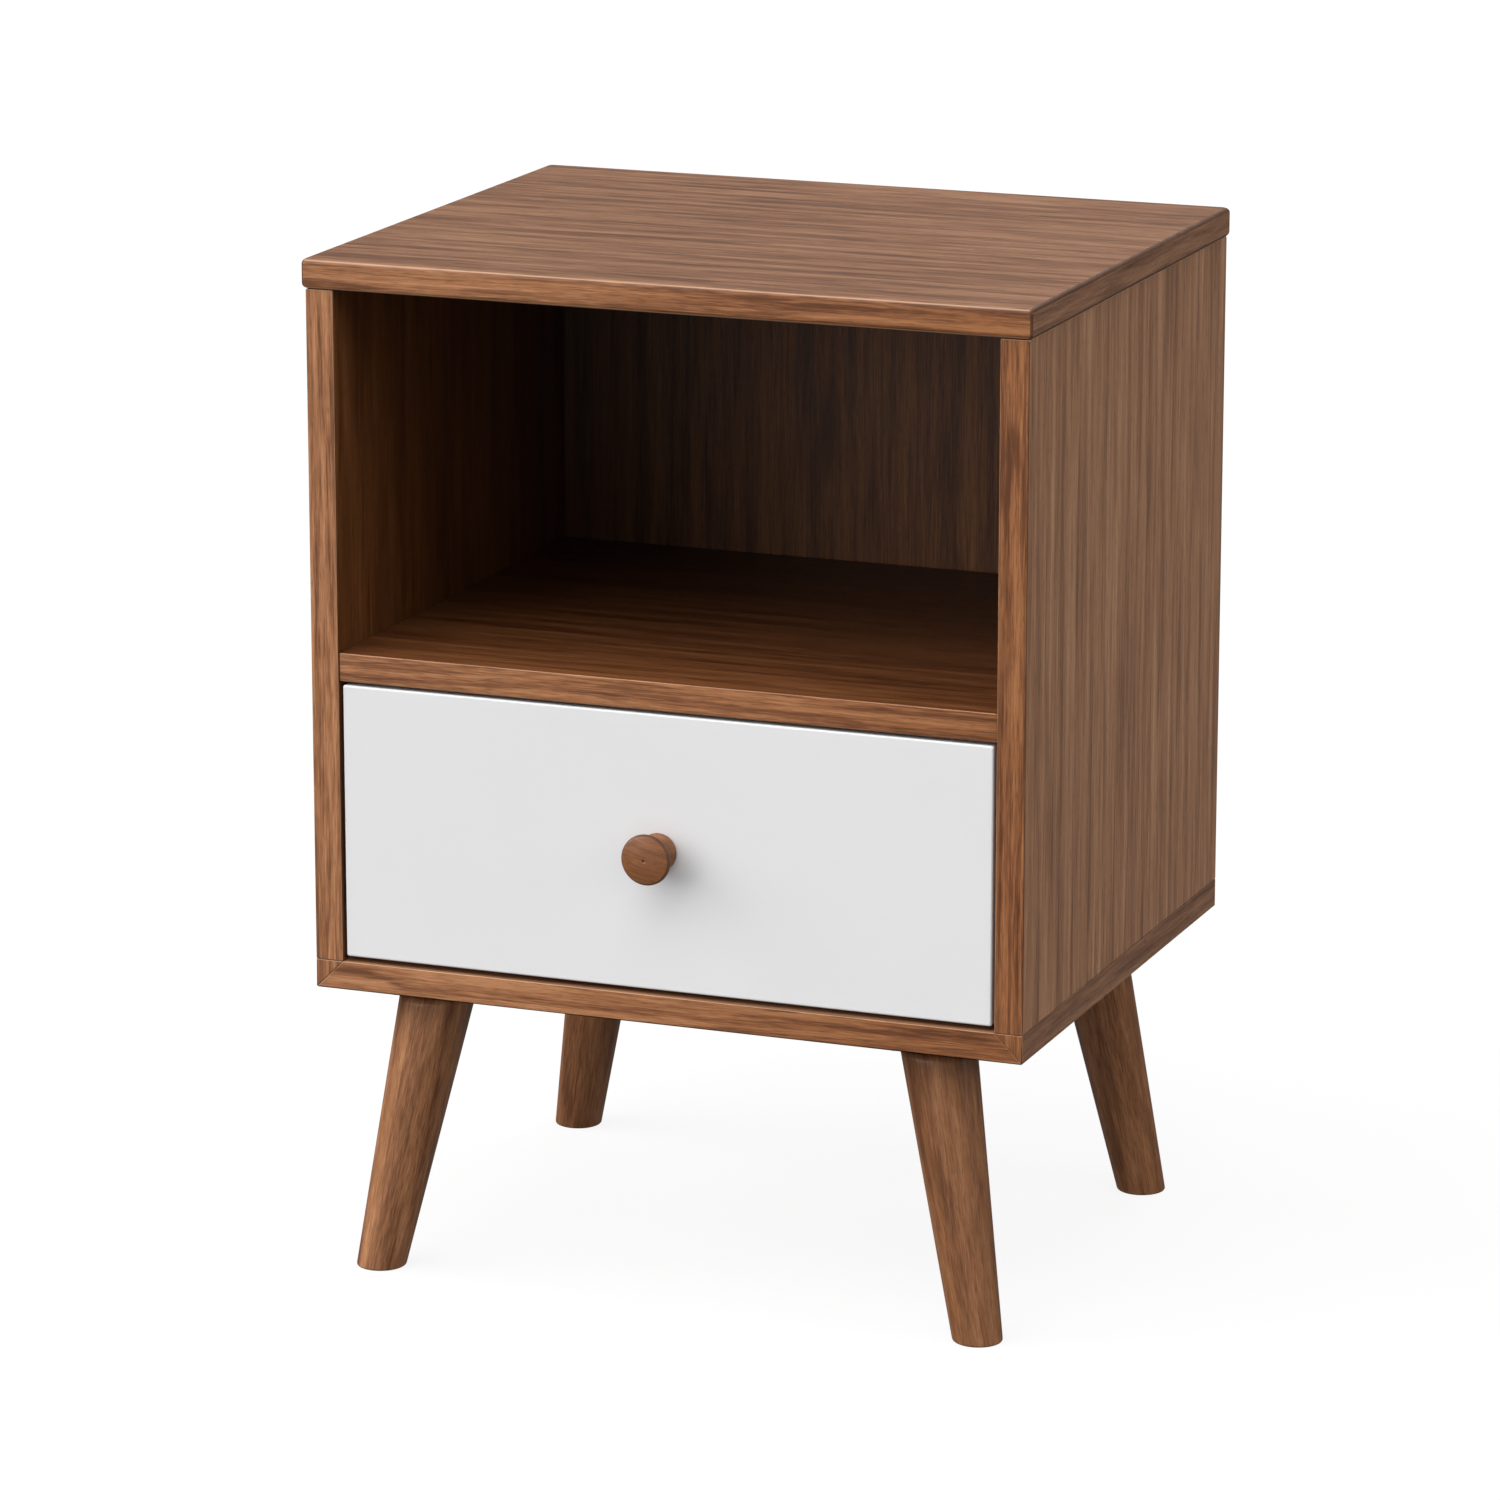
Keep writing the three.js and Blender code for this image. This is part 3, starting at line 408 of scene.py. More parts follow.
FACE_TOP = walnut("walnut_top_veneer", tint=(0.78, 0.74, 0.68), lines=0.6, streak=0.85, fine=1.3,
                  contrast=1.9)
# The sides are the same walnut as the top; their paler tint is painted light, making up for the little
# light the lamps give the sides. The bottom panel shares it.
FACE_SIDE_PAINTED_LIGHT = walnut("walnut_side_veneer_painted_light", tint=(1.28, 1.33, 1.30), wave=0.5, density=110.0, lines=0.6,
                   streak=1.6, contrast=1.45)
# Inner faces of the side panels: a darker tint and a ramp to near black towards the back, both painted
# shade inside the cabinet.
FACE_INSIDE_PAINTED_SHADE = walnut("walnut_inside_veneer_painted_shade", tint=(0.76, 0.60, 0.35), wave=0.7, lines=0.5, streak=1.5,
                     contrast=1.7, shade_and_tint_ramp=(Y, (1.05, 1.05, 1.05), (0.17, 0.13, 0.10)))
# The shelf: a darker tint and a ramp darker towards the back, both painted shade inside the cabinet.
FACE_SHELF_PAINTED_SHADE = walnut("walnut_shelf_veneer_painted_shade", tint=(0.58, 0.42, 0.25), streak=1.0, fine=1.2, contrast=1.8,
                    shade_and_tint_ramp=(Y, (1.0, 1.0, 1.0), (0.28, 0.25, 0.21)))
# The back panel's inner face: a ramp from near black at the left end to full tint at the right, painted
# shade cast by the left side panel.
FACE_BACK_PAINTED_SHADE = walnut("walnut_back_veneer_painted_shade", tint=(1.12, 0.97, 0.72), wave=0.9, lines=0.45, streak=1.2,
                   contrast=2.1, shade_and_tint_ramp=(X, (0.11, 0.09, 0.06), (0.90, 0.84, 0.72)))
FACE_REAR = walnut("walnut_rear_veneer", tint=(0.95, 0.88, 0.76), wave=0.9, lines=0.6, streak=1.4,
                   contrast=1.5)
# The edge bands are lighter at the cabinet's left end and darker at its right end.
BAND = walnut("walnut_edge_band", tint=(1.12, 1.0, 0.84), wave=0.8, density=170.0, lines=1.2, streak=0.7,
              fine=2.2, figured=0.7, contrast=1.9, shade_and_tint_ramp=(X, (1.16, 1.16, 1.14), (0.88, 0.77, 0.60)))
BAND_SIDE = walnut("walnut_end_band", tint=(0.90, 0.88, 0.85), wave=0.9, streak=0.8, fine=1.8, contrast=1.5)
GLUE_LINE = walnut("walnut_glue_line", tint=(0.42, 0.38, 0.34), wear_and_highlight=0.0)
TURNED = walnut("walnut_turned", tint=(0.84, 0.72, 0.55), wave=0.35, density=120.0, streak=0.7,
                contrast=1.6, roughness=0.38)
TURNED_LIGHT = walnut("walnut_turned_light", tint=(1.18, 1.08, 0.90), wave=0.35, density=120.0, streak=0.7,
                      contrast=1.6, roughness=0.38)
TURNED_KNOB = walnut("walnut_turned_knob", tint=(0.86, 0.72, 0.54), wave=0.35, density=120.0, streak=0.8,
                     fine=2.6, figured=0.2, contrast=0.9, roughness=0.33)
# A darker copy of the turned walnut for the knob's rim: painted shade round the rim's rounded edge.
TURNED_RIM_PAINTED_SHADE = walnut("walnut_turned_rim_painted_shade", tint=(0.46, 0.37, 0.26), wave=0.35, density=120.0, streak=0.7)
# Darker walnut for the recess of the turning mark.
PIT = walnut("walnut_turning_mark", tint=(0.35, 0.33, 0.3))
WHITE = white_lacquer()
PALE = pale_board()
BEECH = beech()
RUNNER_PAINT = painted_steel()
ZINC = zinc_steel()
NYLON = nylon()


# ---- mesh building -----------------------------------------------------------------------------

def object_from(name, bm, materials):
    mesh = bpy.data.meshes.new(name)
    bmesh.ops.recalc_face_normals(bm, faces=bm.faces)
    bm.to_mesh(mesh)
    bm.free()
    piece = bpy.data.objects.new(name, mesh)
    bpy.context.collection.objects.link(piece)
    for material in materials:
        mesh.materials.append(material)
    mesh.polygons.foreach_set("use_smooth", [True] * len(mesh.polygons))
    weighted = piece.modifiers.new("even_normals", "WEIGHTED_NORMAL")
    weighted.keep_sharp = True
    weighted.weight = 100
    return piece


def settle(piece, body, slot, *nodes):
    """Says which body the piece rides on and which CAD nodes it stands for; slot, its finish, is not used.
    """
    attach(piece, body)
    if nodes:
        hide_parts(*nodes)
    return piece


def inset_polygon(points, distance):
    """A convex polygon, anticlockwise, with every side moved in by distance."""
    count = len(points)
    sides = []
    for i in range(count):
        a, b = points[i], points[(i + 1) % count]
        along = (b - a).normalized()
        inward = Vector((-along.y, along.x))
        sides.append((a + inward * distance, along))
    corners = []
    for i in range(count):
        (p, u), (q, v) = sides[i - 1], sides[i]
        cross = u.x * v.y - u.y * v.x
        gap = q - p
        corners.append(p + u * ((gap.x * v.y - gap.y * v.x) / cross))
    return corners


def rounded_ring(points, inset, radius, steps):
    """The outline moved in by inset, with its corners rounded."""
    centres = inset_polygon(points, inset + radius)
    count = len(points)
    ring = []
    for i in range(count):
        before = (points[i] - points[i - 1]).normalized()
        after = (points[(i + 1) % count] - points[i]).normalized()
        start = math.atan2(-before.x, before.y)
        turn = math.atan2(before.x * after.y - before.y * after.x, before.dot(after))
        for k in range(steps + 1):
            angle = start + turn * k / steps
            ring.append(centres[i] + radius * Vector((math.cos(angle), math.sin(angle))))
    return ring


def prism(points, axis, low, high, edge, corner):
    """A board: an outline in the plane across axis, run from low to high, with rounded arrises.
    Its arris attribute is 1 along the middle of the rounded edges and 0 elsewhere."""
    first, second = [(Y, Z), (Z, X), (X, Y)][axis]
    bm = bmesh.new()
    arris = bm.verts.layers.float.new("arris")
    rings = []
    quarter = [math.pi / 2 * k / EDGE_STEPS for k in range(EDGE_STEPS + 1)]
    levels = [(low + edge * (1 - math.sin(t)), edge * (1 - math.cos(t))) for t in reversed(quarter)]
    levels += [(high - edge * (1 - math.sin(t)), edge * (1 - math.cos(t))) for t in quarter]
    middle_rings = (EDGE_STEPS // 2, len(levels) - 1 - EDGE_STEPS // 2)
    for step, (level, inset) in enumerate(levels):
        ring = []
        for i, point in enumerate(rounded_ring(points, inset, corner, CORNER_STEPS)):
            place = [0.0, 0.0, 0.0]
            place[axis] = level
            place[first] = point.x
            place[second] = point.y
            vertex = bm.verts.new(place)
            on_corner = i % (CORNER_STEPS + 1) == CORNER_STEPS // 2
            between = middle_rings[0] < step < middle_rings[1]
            vertex[arris] = float(step in middle_rings or (on_corner and between))
            ring.append(vertex)
        rings.append(ring)
    count = len(rings[0])
    for lower, upper in zip(rings, rings[1:]):
        for i in range(count):
            j = (i + 1) % count
            bm.faces.new((lower[i], lower[j], upper[j], upper[i]))
    bm.faces.new(reversed(rings[0]))
    bm.faces.new(rings[-1])
    return bm


def rectangle(low, high, axis):
    first, second = [(Y, Z), (Z, X), (X, Y)][axis]
    a0, a1, b0, b1 = low[first], high[first], low[second], high[second]
    return [Vector((a0, b0)), Vector((a1, b0)), Vector((a1, b1)), Vector((a0, b1))]


def lay_grain(piece, grain, faces=None):
    """Writes the grain attribute. grain gives, for faces whose normal is along X, Y and Z, the axis
    that the grain follows there; faces gives the material of those faces, by its place."""
    mesh = piece.data
    layer = mesh.attributes.new("grain", "FLOAT_VECTOR", "CORNER")
    shifts = [seed_offset() for _ in range(3)]
    values = [0.0] * (3 * len(mesh.loops))
    for polygon in mesh.polygons:
        normal = [abs(c) for c in polygon.normal]
        side = normal.index(max(normal))
        along = grain[side]
        across = 3 - along - side if along != side else (along + 1) % 3
        into = 3 - along - across
        if faces:
            polygon.material_index = faces[side]
        for loop in polygon.loop_indices:
            place = mesh.vertices[mesh.loops[loop].vertex_index].co
            point = Vector((place[along], place[across], place[into])) + shifts[side]
            values[3 * loop:3 * loop + 3] = point
    layer.data.foreach_set("vector", values)


def board(name, node, axis, grain, materials, faces=None, edge=BOARD_ARRIS, corner=BOARD_ARRIS,
          body="cabinet", slot="walnut", outline=None):
    low, high = node_box(node)
    points = outline or rectangle(low, high, axis)
    bm = prism(points, axis, low[axis], high[axis], edge, corner)
    piece = object_from(name, bm, materials)
    lay_grain(piece, grain, faces)
    return settle(piece, body, slot, node)


def lathe(profile, segments, centre, axis, across):
    """Turns a profile of (radius, height) pairs; it starts and ends on the axis, or closes on itself."""
    bm = bmesh.new()
    third = axis.cross(across)
    closed = profile[0] == profile[-1]
    rows = []
    for radius, height in profile[:-1] if closed else profile:
        middle = centre + axis * height
        if radius == 0.0:
            rows.append([bm.verts.new(middle)])
            continue
        row = []
        for k in range(segments):
            angle = math.tau * k / segments
            row.append(bm.verts.new(middle + radius * (math.cos(angle) * across + math.sin(angle) * third)))
        rows.append(row)
    pairs = list(zip(rows, rows[1:]))
    if closed:
        pairs.append((rows[-1], rows[0]))
    for lower, upper in pairs:
        for k in range(segments):
            n = (k + 1) % segments
            if len(lower) == 1:
                bm.faces.new((lower[0], upper[k], upper[n]))
            elif len(upper) == 1:
                bm.faces.new((lower[k], lower[n], upper[0]))
            else:
                bm.faces.new((lower[k], lower[n], upper[n], upper[k]))
    return bm


def arc(centre, radius, start, end, steps):
    """Points of a profile's rounded corner, as (radius, height) pairs; angles in degrees."""
    points = []
    for k in range(steps + 1):
        angle = math.radians(start + (end - start) * k / steps)
        points.append((centre[0] + radius * math.cos(angle), centre[1] + radius * math.sin(angle)))
    return points


def scaled(profile):
    return [(radius * MM, height * MM) for radius, height in profile]


# ---- cabinet -----------------------------------------------------------------------------------

TOP_GLUE_LEAN = 0.35  # least share of a normal along each of two axes, for the middle of an arris
SIDE_GLUE_LEAN = 0.6  # least share of a normal along X, for the side half of a front arris


def build_top():
    """The top has a dark line of glue along the rounded arrises of its two ends."""
    materials = [FACE_TOP, BAND, BAND_SIDE, GLUE_LINE]
    piece = board("top_panel_fine", "top_panel", Z, (Y, X, X), materials, (2, 1, 0),
                  edge=TOP_EDGE, corner=TOP_CORNER)
    for polygon in piece.data.polygons:
        normal = polygon.normal
        if abs(normal.x) > TOP_GLUE_LEAN and max(abs(normal.y), abs(normal.z)) > TOP_GLUE_LEAN:
            polygon.material_index = materials.index(GLUE_LINE)


def build_sides():
    materials = [FACE_SIDE_PAINTED_LIGHT, BAND, FACE_INSIDE_PAINTED_SHADE, GLUE_LINE]
    for side in ("left", "right"):
        piece = board(f"side_panel_{side}_fine", f"side_panel_{side}", X, (Z, Z, Y), materials, (0, 1, 1))
        inwards = 1 if side == "left" else -1
        # The inner face takes the inside veneer, whose colour carries painted shade.
        paint_inner_face(piece, inwards, materials.index(FACE_INSIDE_PAINTED_SHADE))
        paint_front_arris(piece, -inwards, materials.index(GLUE_LINE))


def paint_inner_face(piece, direction, material):
    """Gives the face that looks along +X or -X, into the cabinet, a material of its own."""
    for polygon in piece.data.polygons:
        if polygon.normal.x * direction > FLAT:
            polygon.material_index = material


def paint_front_arris(piece, direction, material):
    """Gives the side half of the rounded arris between the front and that side a material: the
    line of glue where the edge band ends."""
    for polygon in piece.data.polygons:
        normal = polygon.normal
        leans = normal.x * direction > SIDE_GLUE_LEAN and normal.y < -SQUARE
        if leans and abs(normal.z) < SQUARE:
            polygon.material_index = material


def build_bottom():
    """The bottom panel with its mitred ends, and the corner strip that meets it on each side."""
    low, high = node_box("bottom_panel")
    thick = high.z - low.z
    gap = MITRE_GAP
    half = node_box("side_panel_right")[1].x
    cut = CORNER_CHAMFER
    # Seen along +Y with Z across and X up, as prism() runs an outline along Y.
    panel = [
        (low.z, -half + cut + gap),
        (low.z + cut / 2, -half + cut / 2 + gap),
        (high.z, -half + thick + gap),
        (high.z, half - thick - gap),
        (low.z + cut / 2, half - cut / 2 - gap),
        (low.z, half - cut - gap),
    ]
    outline = anticlockwise([Vector(p) for p in panel])
    board("bottom_panel_fine", "bottom_panel", Y, (Y, X, X), [FACE_SIDE_PAINTED_LIGHT, BAND], (0, 1, 0),
          corner=MITRE_ARRIS, outline=outline)
    for side, sign in (("left", -1), ("right", 1)):
        strip = [
            (high.z, sign * half),
            (high.z, sign * (half - thick + gap)),
            (low.z + cut / 2, sign * (half - cut / 2 + gap / 2)),
            (low.z + cut, sign * half),
        ]
        outline = anticlockwise([Vector(p) for p in strip])
        board(f"bottom_corner_strip_{side}_fine", f"bottom_corner_strip_{side}", Y, (Y, Z, Y),
              [BAND_SIDE, BAND], (0, 1, 0), corner=MITRE_ARRIS, outline=outline)


def anticlockwise(points):
    area = 0.0
    for a, b in zip(points, points[1:] + points[:1]):
        area += a.x * b.y - b.x * a.y
    return points if area > 0 else list(reversed(points))


def build_shelf_and_back():
    board("shelf_panel_fine", "shelf_panel", Z, (Y, X, X), [FACE_SHELF_PAINTED_SHADE, BAND], (0, 1, 0),
          edge=SHELF_ARRIS, corner=SHELF_ARRIS)
    materials = [FACE_REAR, FACE_BACK_PAINTED_SHADE]
    back = board("back_panel_fine", "back_panel", Y, (Z, Z, X), materials,
                 edge=THIN_ARRIS, corner=THIN_ARRIS)
    # Only the front face of the back panel, inside the cabinet, takes the veneer with painted shade; its
    # rear face does not.
    for polygon in back.data.polygons:
        if polygon.normal.y < -FLAT:
            polygon.material_index = materials.index(FACE_BACK_PAINTED_SHADE)


# ---- legs --------------------------------------------------------------------------------------

LEG_NAMES = ("front_left", "front_right", "rear_left", "rear_right")
FOOT_RADIUS = 13.2 * MM
LEG_TOP_RADIUS = 20.3 * MM
FOOT_ROUND = 1.3 * MM
LEG_SEGMENTS = 64
LEG_RINGS = 24
FOOT_STEPS = 5
# A leaning round section that is cut level is a little wider than round, sideways and fore and aft.
FOOT_WIDENING = (1.012, 1.003)
LEG_TOP_WIDENING = (1.005, 1.0)


def leg_axis(name):
    """The centres of the leg's foot and top, from its CAD box: the foot is the low, outer end."""
    low, high = node_box(f"leg_{name}")
    side = -1 if "left" in name else 1
    end = -1 if "front" in name else 1
    outer = Vector((low.x if side < 0 else high.x, low.y if end < 0 else high.y, low.z))
    inner = Vector((high.x if side < 0 else low.x, high.y if end < 0 else low.y, high.z))
    foot_x, foot_y = FOOT_WIDENING
    top_x, top_y = LEG_TOP_WIDENING
    foot = outer - FOOT_RADIUS * Vector((side * foot_x, end * foot_y, 0.0))
    top = inner + LEG_TOP_RADIUS * Vector((side * top_x, end * top_y, 0.0))
    return foot, top


def build_legs():
    """Turned tapers, leaning outwards, cut level at both ends and eased round the foot."""
    for name in LEG_NAMES:
        foot, top = leg_axis(name)
        along = (top - foot).normalized()
        across = along.cross(Vector((0, 1, 0))).normalized()
        third = along.cross(across)
        height = top.z - foot.z
        bm = bmesh.new()
        rings = []
        quarter = [math.pi / 2 * k / FOOT_STEPS for k in range(FOOT_STEPS, -1, -1)]
        levels = [(FOOT_ROUND * (1 - math.sin(t)), FOOT_ROUND * (1 - math.cos(t))) for t in quarter]
        shaft = height - FOOT_ROUND
        levels += [(FOOT_ROUND + shaft * k / LEG_RINGS, 0.0) for k in range(1, LEG_RINGS + 1)]
        for level, inset in levels:
            share = level / height
            middle = foot.lerp(top, share)
            radius = FOOT_RADIUS + (LEG_TOP_RADIUS - FOOT_RADIUS) * share - inset
            ring = []
            for k in range(LEG_SEGMENTS):
                angle = math.tau * k / LEG_SEGMENTS
                spoke = radius * (math.cos(angle) * across + math.sin(angle) * third)
                # The section is square to the leg; slide each point along the leg to its level.
                spoke -= along * (spoke.z / along.z)
                ring.append(bm.verts.new(middle + spoke))
            rings.append(ring)
        for lower, upper in zip(rings, rings[1:]):
            for k in range(LEG_SEGMENTS):
                n = (k + 1) % LEG_SEGMENTS
                bm.faces.new((lower[k], lower[n], upper[n], upper[k]))
        bm.faces.new(reversed(rings[0]))
        bm.faces.new(rings[-1])
        piece = object_from(f"leg_{name}_fine", bm, [TURNED_LIGHT if name == "front_left" else TURNED])
        lay_turned_grain(piece, foot, along, across, third)
        settle(piece, "cabinet", "walnut_solid", f"leg_{name}")


def lay_turned_grain(piece, origin, along, across, into):
    """Writes the grain attribute of a turned piece, whose grain follows the vector along."""
    mesh = piece.data
    layer = mesh.attributes.new("grain", "FLOAT_VECTOR", "POINT")
    shift = seed_offset()
    values = []
    for vertex in mesh.vertices:
        away = vertex.co - origin
        values.extend(Vector((away.dot(along), away.dot(across), away.dot(into))) + shift)
    layer.data.foreach_set("vector", values)


PLATE_SCREW_INSET = 5.5  # in from the plate's edges; mm, as are the screw's other sizes
PLATE_SCREW_RADIUS = 1.7
PLATE_SCREW_HEAD_RADIUS = 3.2
PLATE_SCREW_HEAD_HEIGHT = 1.7
PLATE_SCREW_HEAD_ROUND = 1.0
PLATE_SCREW_RECESS = 0.9  # depth of the conical recess in the head
PLATE_SCREW_TAPER = 9.0  # height where the point begins
PLATE_SCREW_LENGTH = 11.5
SCREW_SEGMENTS = 24


def build_plate_screws():
    """Four pan-head screws hold each leg plate; they stand head down under the plate's corners."""
    head_edge = (PLATE_SCREW_HEAD_RADIUS - PLATE_SCREW_HEAD_ROUND, PLATE_SCREW_HEAD_ROUND)
    profile = [(0, PLATE_SCREW_RECESS)] + arc(head_edge, PLATE_SCREW_HEAD_ROUND, -90, 0, 4) + [
        (PLATE_SCREW_HEAD_RADIUS, PLATE_SCREW_HEAD_HEIGHT),
        (PLATE_SCREW_RADIUS, PLATE_SCREW_HEAD_HEIGHT),
        (PLATE_SCREW_RADIUS, PLATE_SCREW_TAPER),
        (0, PLATE_SCREW_LENGTH),
    ]
    inset = PLATE_SCREW_INSET * MM
    for name in LEG_NAMES:
        low, high = node_box(f"leg_plate_{name}")
        for i, x in enumerate((low.x + inset, high.x - inset)):
            for j, y in enumerate((low.y + inset, high.y - inset)):
                head = Vector((x, y, low.z - PLATE_SCREW_HEAD_HEIGHT * MM))
                bm = lathe(scaled(profile), SCREW_SEGMENTS, head, Vector((0, 0, 1)), Vector((1, 0, 0)))
                piece = object_from(f"plate_screw_{name}_{2 * i + j + 1}", bm, [ZINC])
                settle(piece, "cabinet", "zinc_steel")


# ---- drawer ------------------------------------------------------------------------------------

def build_drawer_box():
    board("drawer_front_fine", "drawer_front", Y, (Z, X, X), [WHITE], edge=FRONT_EDGE, corner=FRONT_EDGE,
          body="drawer", slot="white_paint")
    for side in ("left", "right"):
        board(f"drawer_side_{side}_fine", f"drawer_side_{side}", X, (Y, Z, Y), [PALE],
              body="drawer", slot="pale_board")
    board("drawer_back_fine", "drawer_back", Y, (Y, X, X), [PALE], body="drawer", slot="pale_board")
    board("drawer_floor_fine", "drawer_floor", Z, (Y, X, X), [PALE], edge=THIN_ARRIS, corner=THIN_ARRIS,
          body="drawer", slot="pale_board")


KNOB_SEGMENTS = 72
KNOB_BASE_RADIUS = 10.2  # mm, as are the knob's other sizes
KNOB_NECK_RADIUS = 8.1
KNOB_NECK_HEIGHT = 7.0  # where the neck is thinnest
KNOB_FLARE = 3  # power of the curve from the neck out to the rim
KNOB_RIM_BACK = 17.6  # height where the rim begins
KNOB_ROUND = 0.6
KNOB_NECK_STEPS = 14
KNOB_CROWN = 1.5  # how far the face's edge lies behind its middle
KNOB_FACE_RINGS = (0.85, 0.7, 0.55, 0.4, 0.25, 0.12)  # as shares of the face's radius
KNOB_FACE_ROUND = 2.1
KNOB_RIM_SHADE = 1.0  # width of the ring of painted shade, in from the rim's outside
MARK_RADIUS = 0.62  # the turning centre's mark in the middle of the face
MARK_DEPTH = 0.7
MARK_SHOULDER = (0.8, 0.6)  # shares of its radius and depth where its wall meets its point
KNOB_ALONG = Vector((0.97, 0.0, -0.24))  # the grain's direction, a little off level
KNOB_ACROSS = Vector((0.24, 0.0, 0.97))


def neck_radius(height, radius):
    """The knob's radius behind its rim: thinnest at the neck, wider to the foot and to the rim."""
    if height < KNOB_NECK_HEIGHT:
        to_foot = 1 - height / KNOB_NECK_HEIGHT
        return KNOB_NECK_RADIUS + (KNOB_BASE_RADIUS - KNOB_NECK_RADIUS) * to_foot ** 2
    to_rim = (height - KNOB_NECK_HEIGHT) / (KNOB_RIM_BACK - KNOB_NECK_HEIGHT)
    return KNOB_NECK_RADIUS + (radius - KNOB_NECK_RADIUS) * to_rim ** KNOB_FLARE


def knob_profile(height, radius):
    """Half the knob's outline, from the middle of its foot round to the middle of its face."""
    foot_edge = (KNOB_BASE_RADIUS - KNOB_ROUND, KNOB_ROUND)
    profile = [(0, 0)] + arc(foot_edge, KNOB_ROUND, -90, 0, 4)
    neck_top = KNOB_RIM_BACK - KNOB_ROUND
    for k in range(1, KNOB_NECK_STEPS + 1):
        level = KNOB_ROUND + (neck_top - KNOB_ROUND) * k / KNOB_NECK_STEPS
        profile.append((min(neck_radius(level, radius), radius - KNOB_ROUND), level))
    profile += arc((radius - KNOB_ROUND, KNOB_RIM_BACK), KNOB_ROUND, -70, 0, 5)
    edge = radius - KNOB_FACE_ROUND
    profile += arc((edge, height - KNOB_CROWN - KNOB_FACE_ROUND), KNOB_FACE_ROUND, 0, 80, 7)
    # The face is a shallow dome: it drops with the square of the distance from the middle.
    for share in KNOB_FACE_RINGS:
        profile.append((edge * share, height - KNOB_CROWN * share ** 2))
    wide, deep = MARK_SHOULDER
    profile += [
        (MARK_RADIUS, height),
        (MARK_RADIUS * wide, height - MARK_DEPTH * deep),
        (0, height - MARK_DEPTH),
    ]
    return profile


def build_knob():
    """Mushroom knob: flared foot, waisted neck, thin rim and a gently domed face with a turning mark."""
    low, high = node_box("drawer_knob")
    centre = Vector(((low.x + high.x) / 2, high.y, (low.z + high.z) / 2))
    height = (high.y - low.y) / MM
    radius = (high.x - low.x) / 2 / MM
    profile = knob_profile(height, radius)
    bm = lathe(scaled(profile), KNOB_SEGMENTS, centre, Vector((0, -1, 0)), Vector((1, 0, 0)))
    materials = [TURNED_KNOB, PIT, TURNED_RIM_PAINTED_SHADE]
    piece = object_from("drawer_knob_fine", bm, materials)
    for polygon in piece.data.polygons:
        away = polygon.center - centre
        out = Vector((away.x, away.z)).length
        if out < MARK_RADIUS * MM and polygon.center.y < low.y + MARK_DEPTH * MM:
            polygon.material_index = materials.index(PIT)
        # The outer ring of the rim takes the darker rim walnut: painted shade.
        elif out > (radius - KNOB_RIM_SHADE) * MM:
            polygon.material_index = materials.index(TURNED_RIM_PAINTED_SHADE)
    lay_turned_grain(piece, centre, KNOB_ALONG, KNOB_ACROSS, Vector((0, 1, 0)))
    settle(piece, "drawer", "walnut_solid", "drawer_knob")


# ---- rollers -----------------------------------------------------------------------------------

ROLLER_NODES = (
    "cabinet_roller_left",
    "cabinet_roller_right",
    "drawer_roller_left",
    "drawer_roller_right",
)
ROLLER_SEGMENTS = 48
ROLLER_BORE = 2.3  # radius; mm, as are the roller's other sizes
ROLLER_HUB = 4.0  # where the hub's face ends and its rounding begins
ROLLER_HUB_ROUND = 0.4
ROLLER_WEB = (4.7, 6.6)  # inner and outer radius of the dished web
ROLLER_DISH = 0.95  # how far the web lies below the hub
ROLLER_TREAD_ROUND = 0.7
ROLLER_TREAD_EDGE = 1.0  # how far the tread begins below the hub


def build_rollers():
    """Nylon wheels with a raised hub, a dished web and a tread with rounded edges."""
    for node in ROLLER_NODES:
        low, high = node_box(node)
        centre = Vector((low.x, (low.y + high.y) / 2, (low.z + high.z) / 2))
        width = (high.x - low.x) / MM
        radius = (high.z - low.z) / 2 / MM
        half = [(ROLLER_BORE, 0)]
        half += arc((ROLLER_HUB, ROLLER_HUB_ROUND), ROLLER_HUB_ROUND, -90, 0, 3)
        half += [(web_radius, ROLLER_DISH) for web_radius in ROLLER_WEB]
        tread_edge = (radius - ROLLER_TREAD_ROUND, ROLLER_TREAD_EDGE)
        half += arc(tread_edge, ROLLER_TREAD_ROUND, -110, 0, 4)
        profile = half + [(r, width - h) for r, h in reversed(half)]
        profile.append(profile[0])
        bm = lathe(scaled(profile), ROLLER_SEGMENTS, centre, Vector((1, 0, 0)), Vector((0, 1, 0)))
        settle(object_from(f"{node}_fine", bm, [NYLON]), node, "nylon", node)


# ---- CAD nodes that keep their own mesh --------------------------------------------------------

FASTENER_ROUND = 0.15 * MM
PLATE_ROUND = 0.4 * MM
RUNNER_ROUND = 0.35 * MM
SHARP_ANGLE = math.radians(50)  # edges that turn more than this are rounded


def finish_cad_nodes():
    for name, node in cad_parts.items():
        if "dowel" in name:
            give(node, BEECH)
        elif "runner_screw" in name or "axle" in name or "bolt" in name or name == "knob_screw":
            give(node, ZINC)
            soften(node, FASTENER_ROUND)
        elif name.startswith("leg_plate"):
            give(node, ZINC)
            soften(node, PLATE_ROUND)
        elif "runner" in name:
            give(node, RUNNER_PAINT)
            soften(node, RUNNER_ROUND)


def give(node, material):
    node.data.materials.clear()
    node.data.materials.append(material)


def soften(node, width):
    """Rounds the sharp edges of a CAD mesh, as bent or turned steel has."""
    bevel = node.modifiers.new("soft_edges", "BEVEL")
    bevel.width = width
    bevel.segments = 2
    bevel.limit_method = "ANGLE"
    bevel.angle_limit = SHARP_ANGLE


# ---- studio ------------------------------------------------------------------------------------

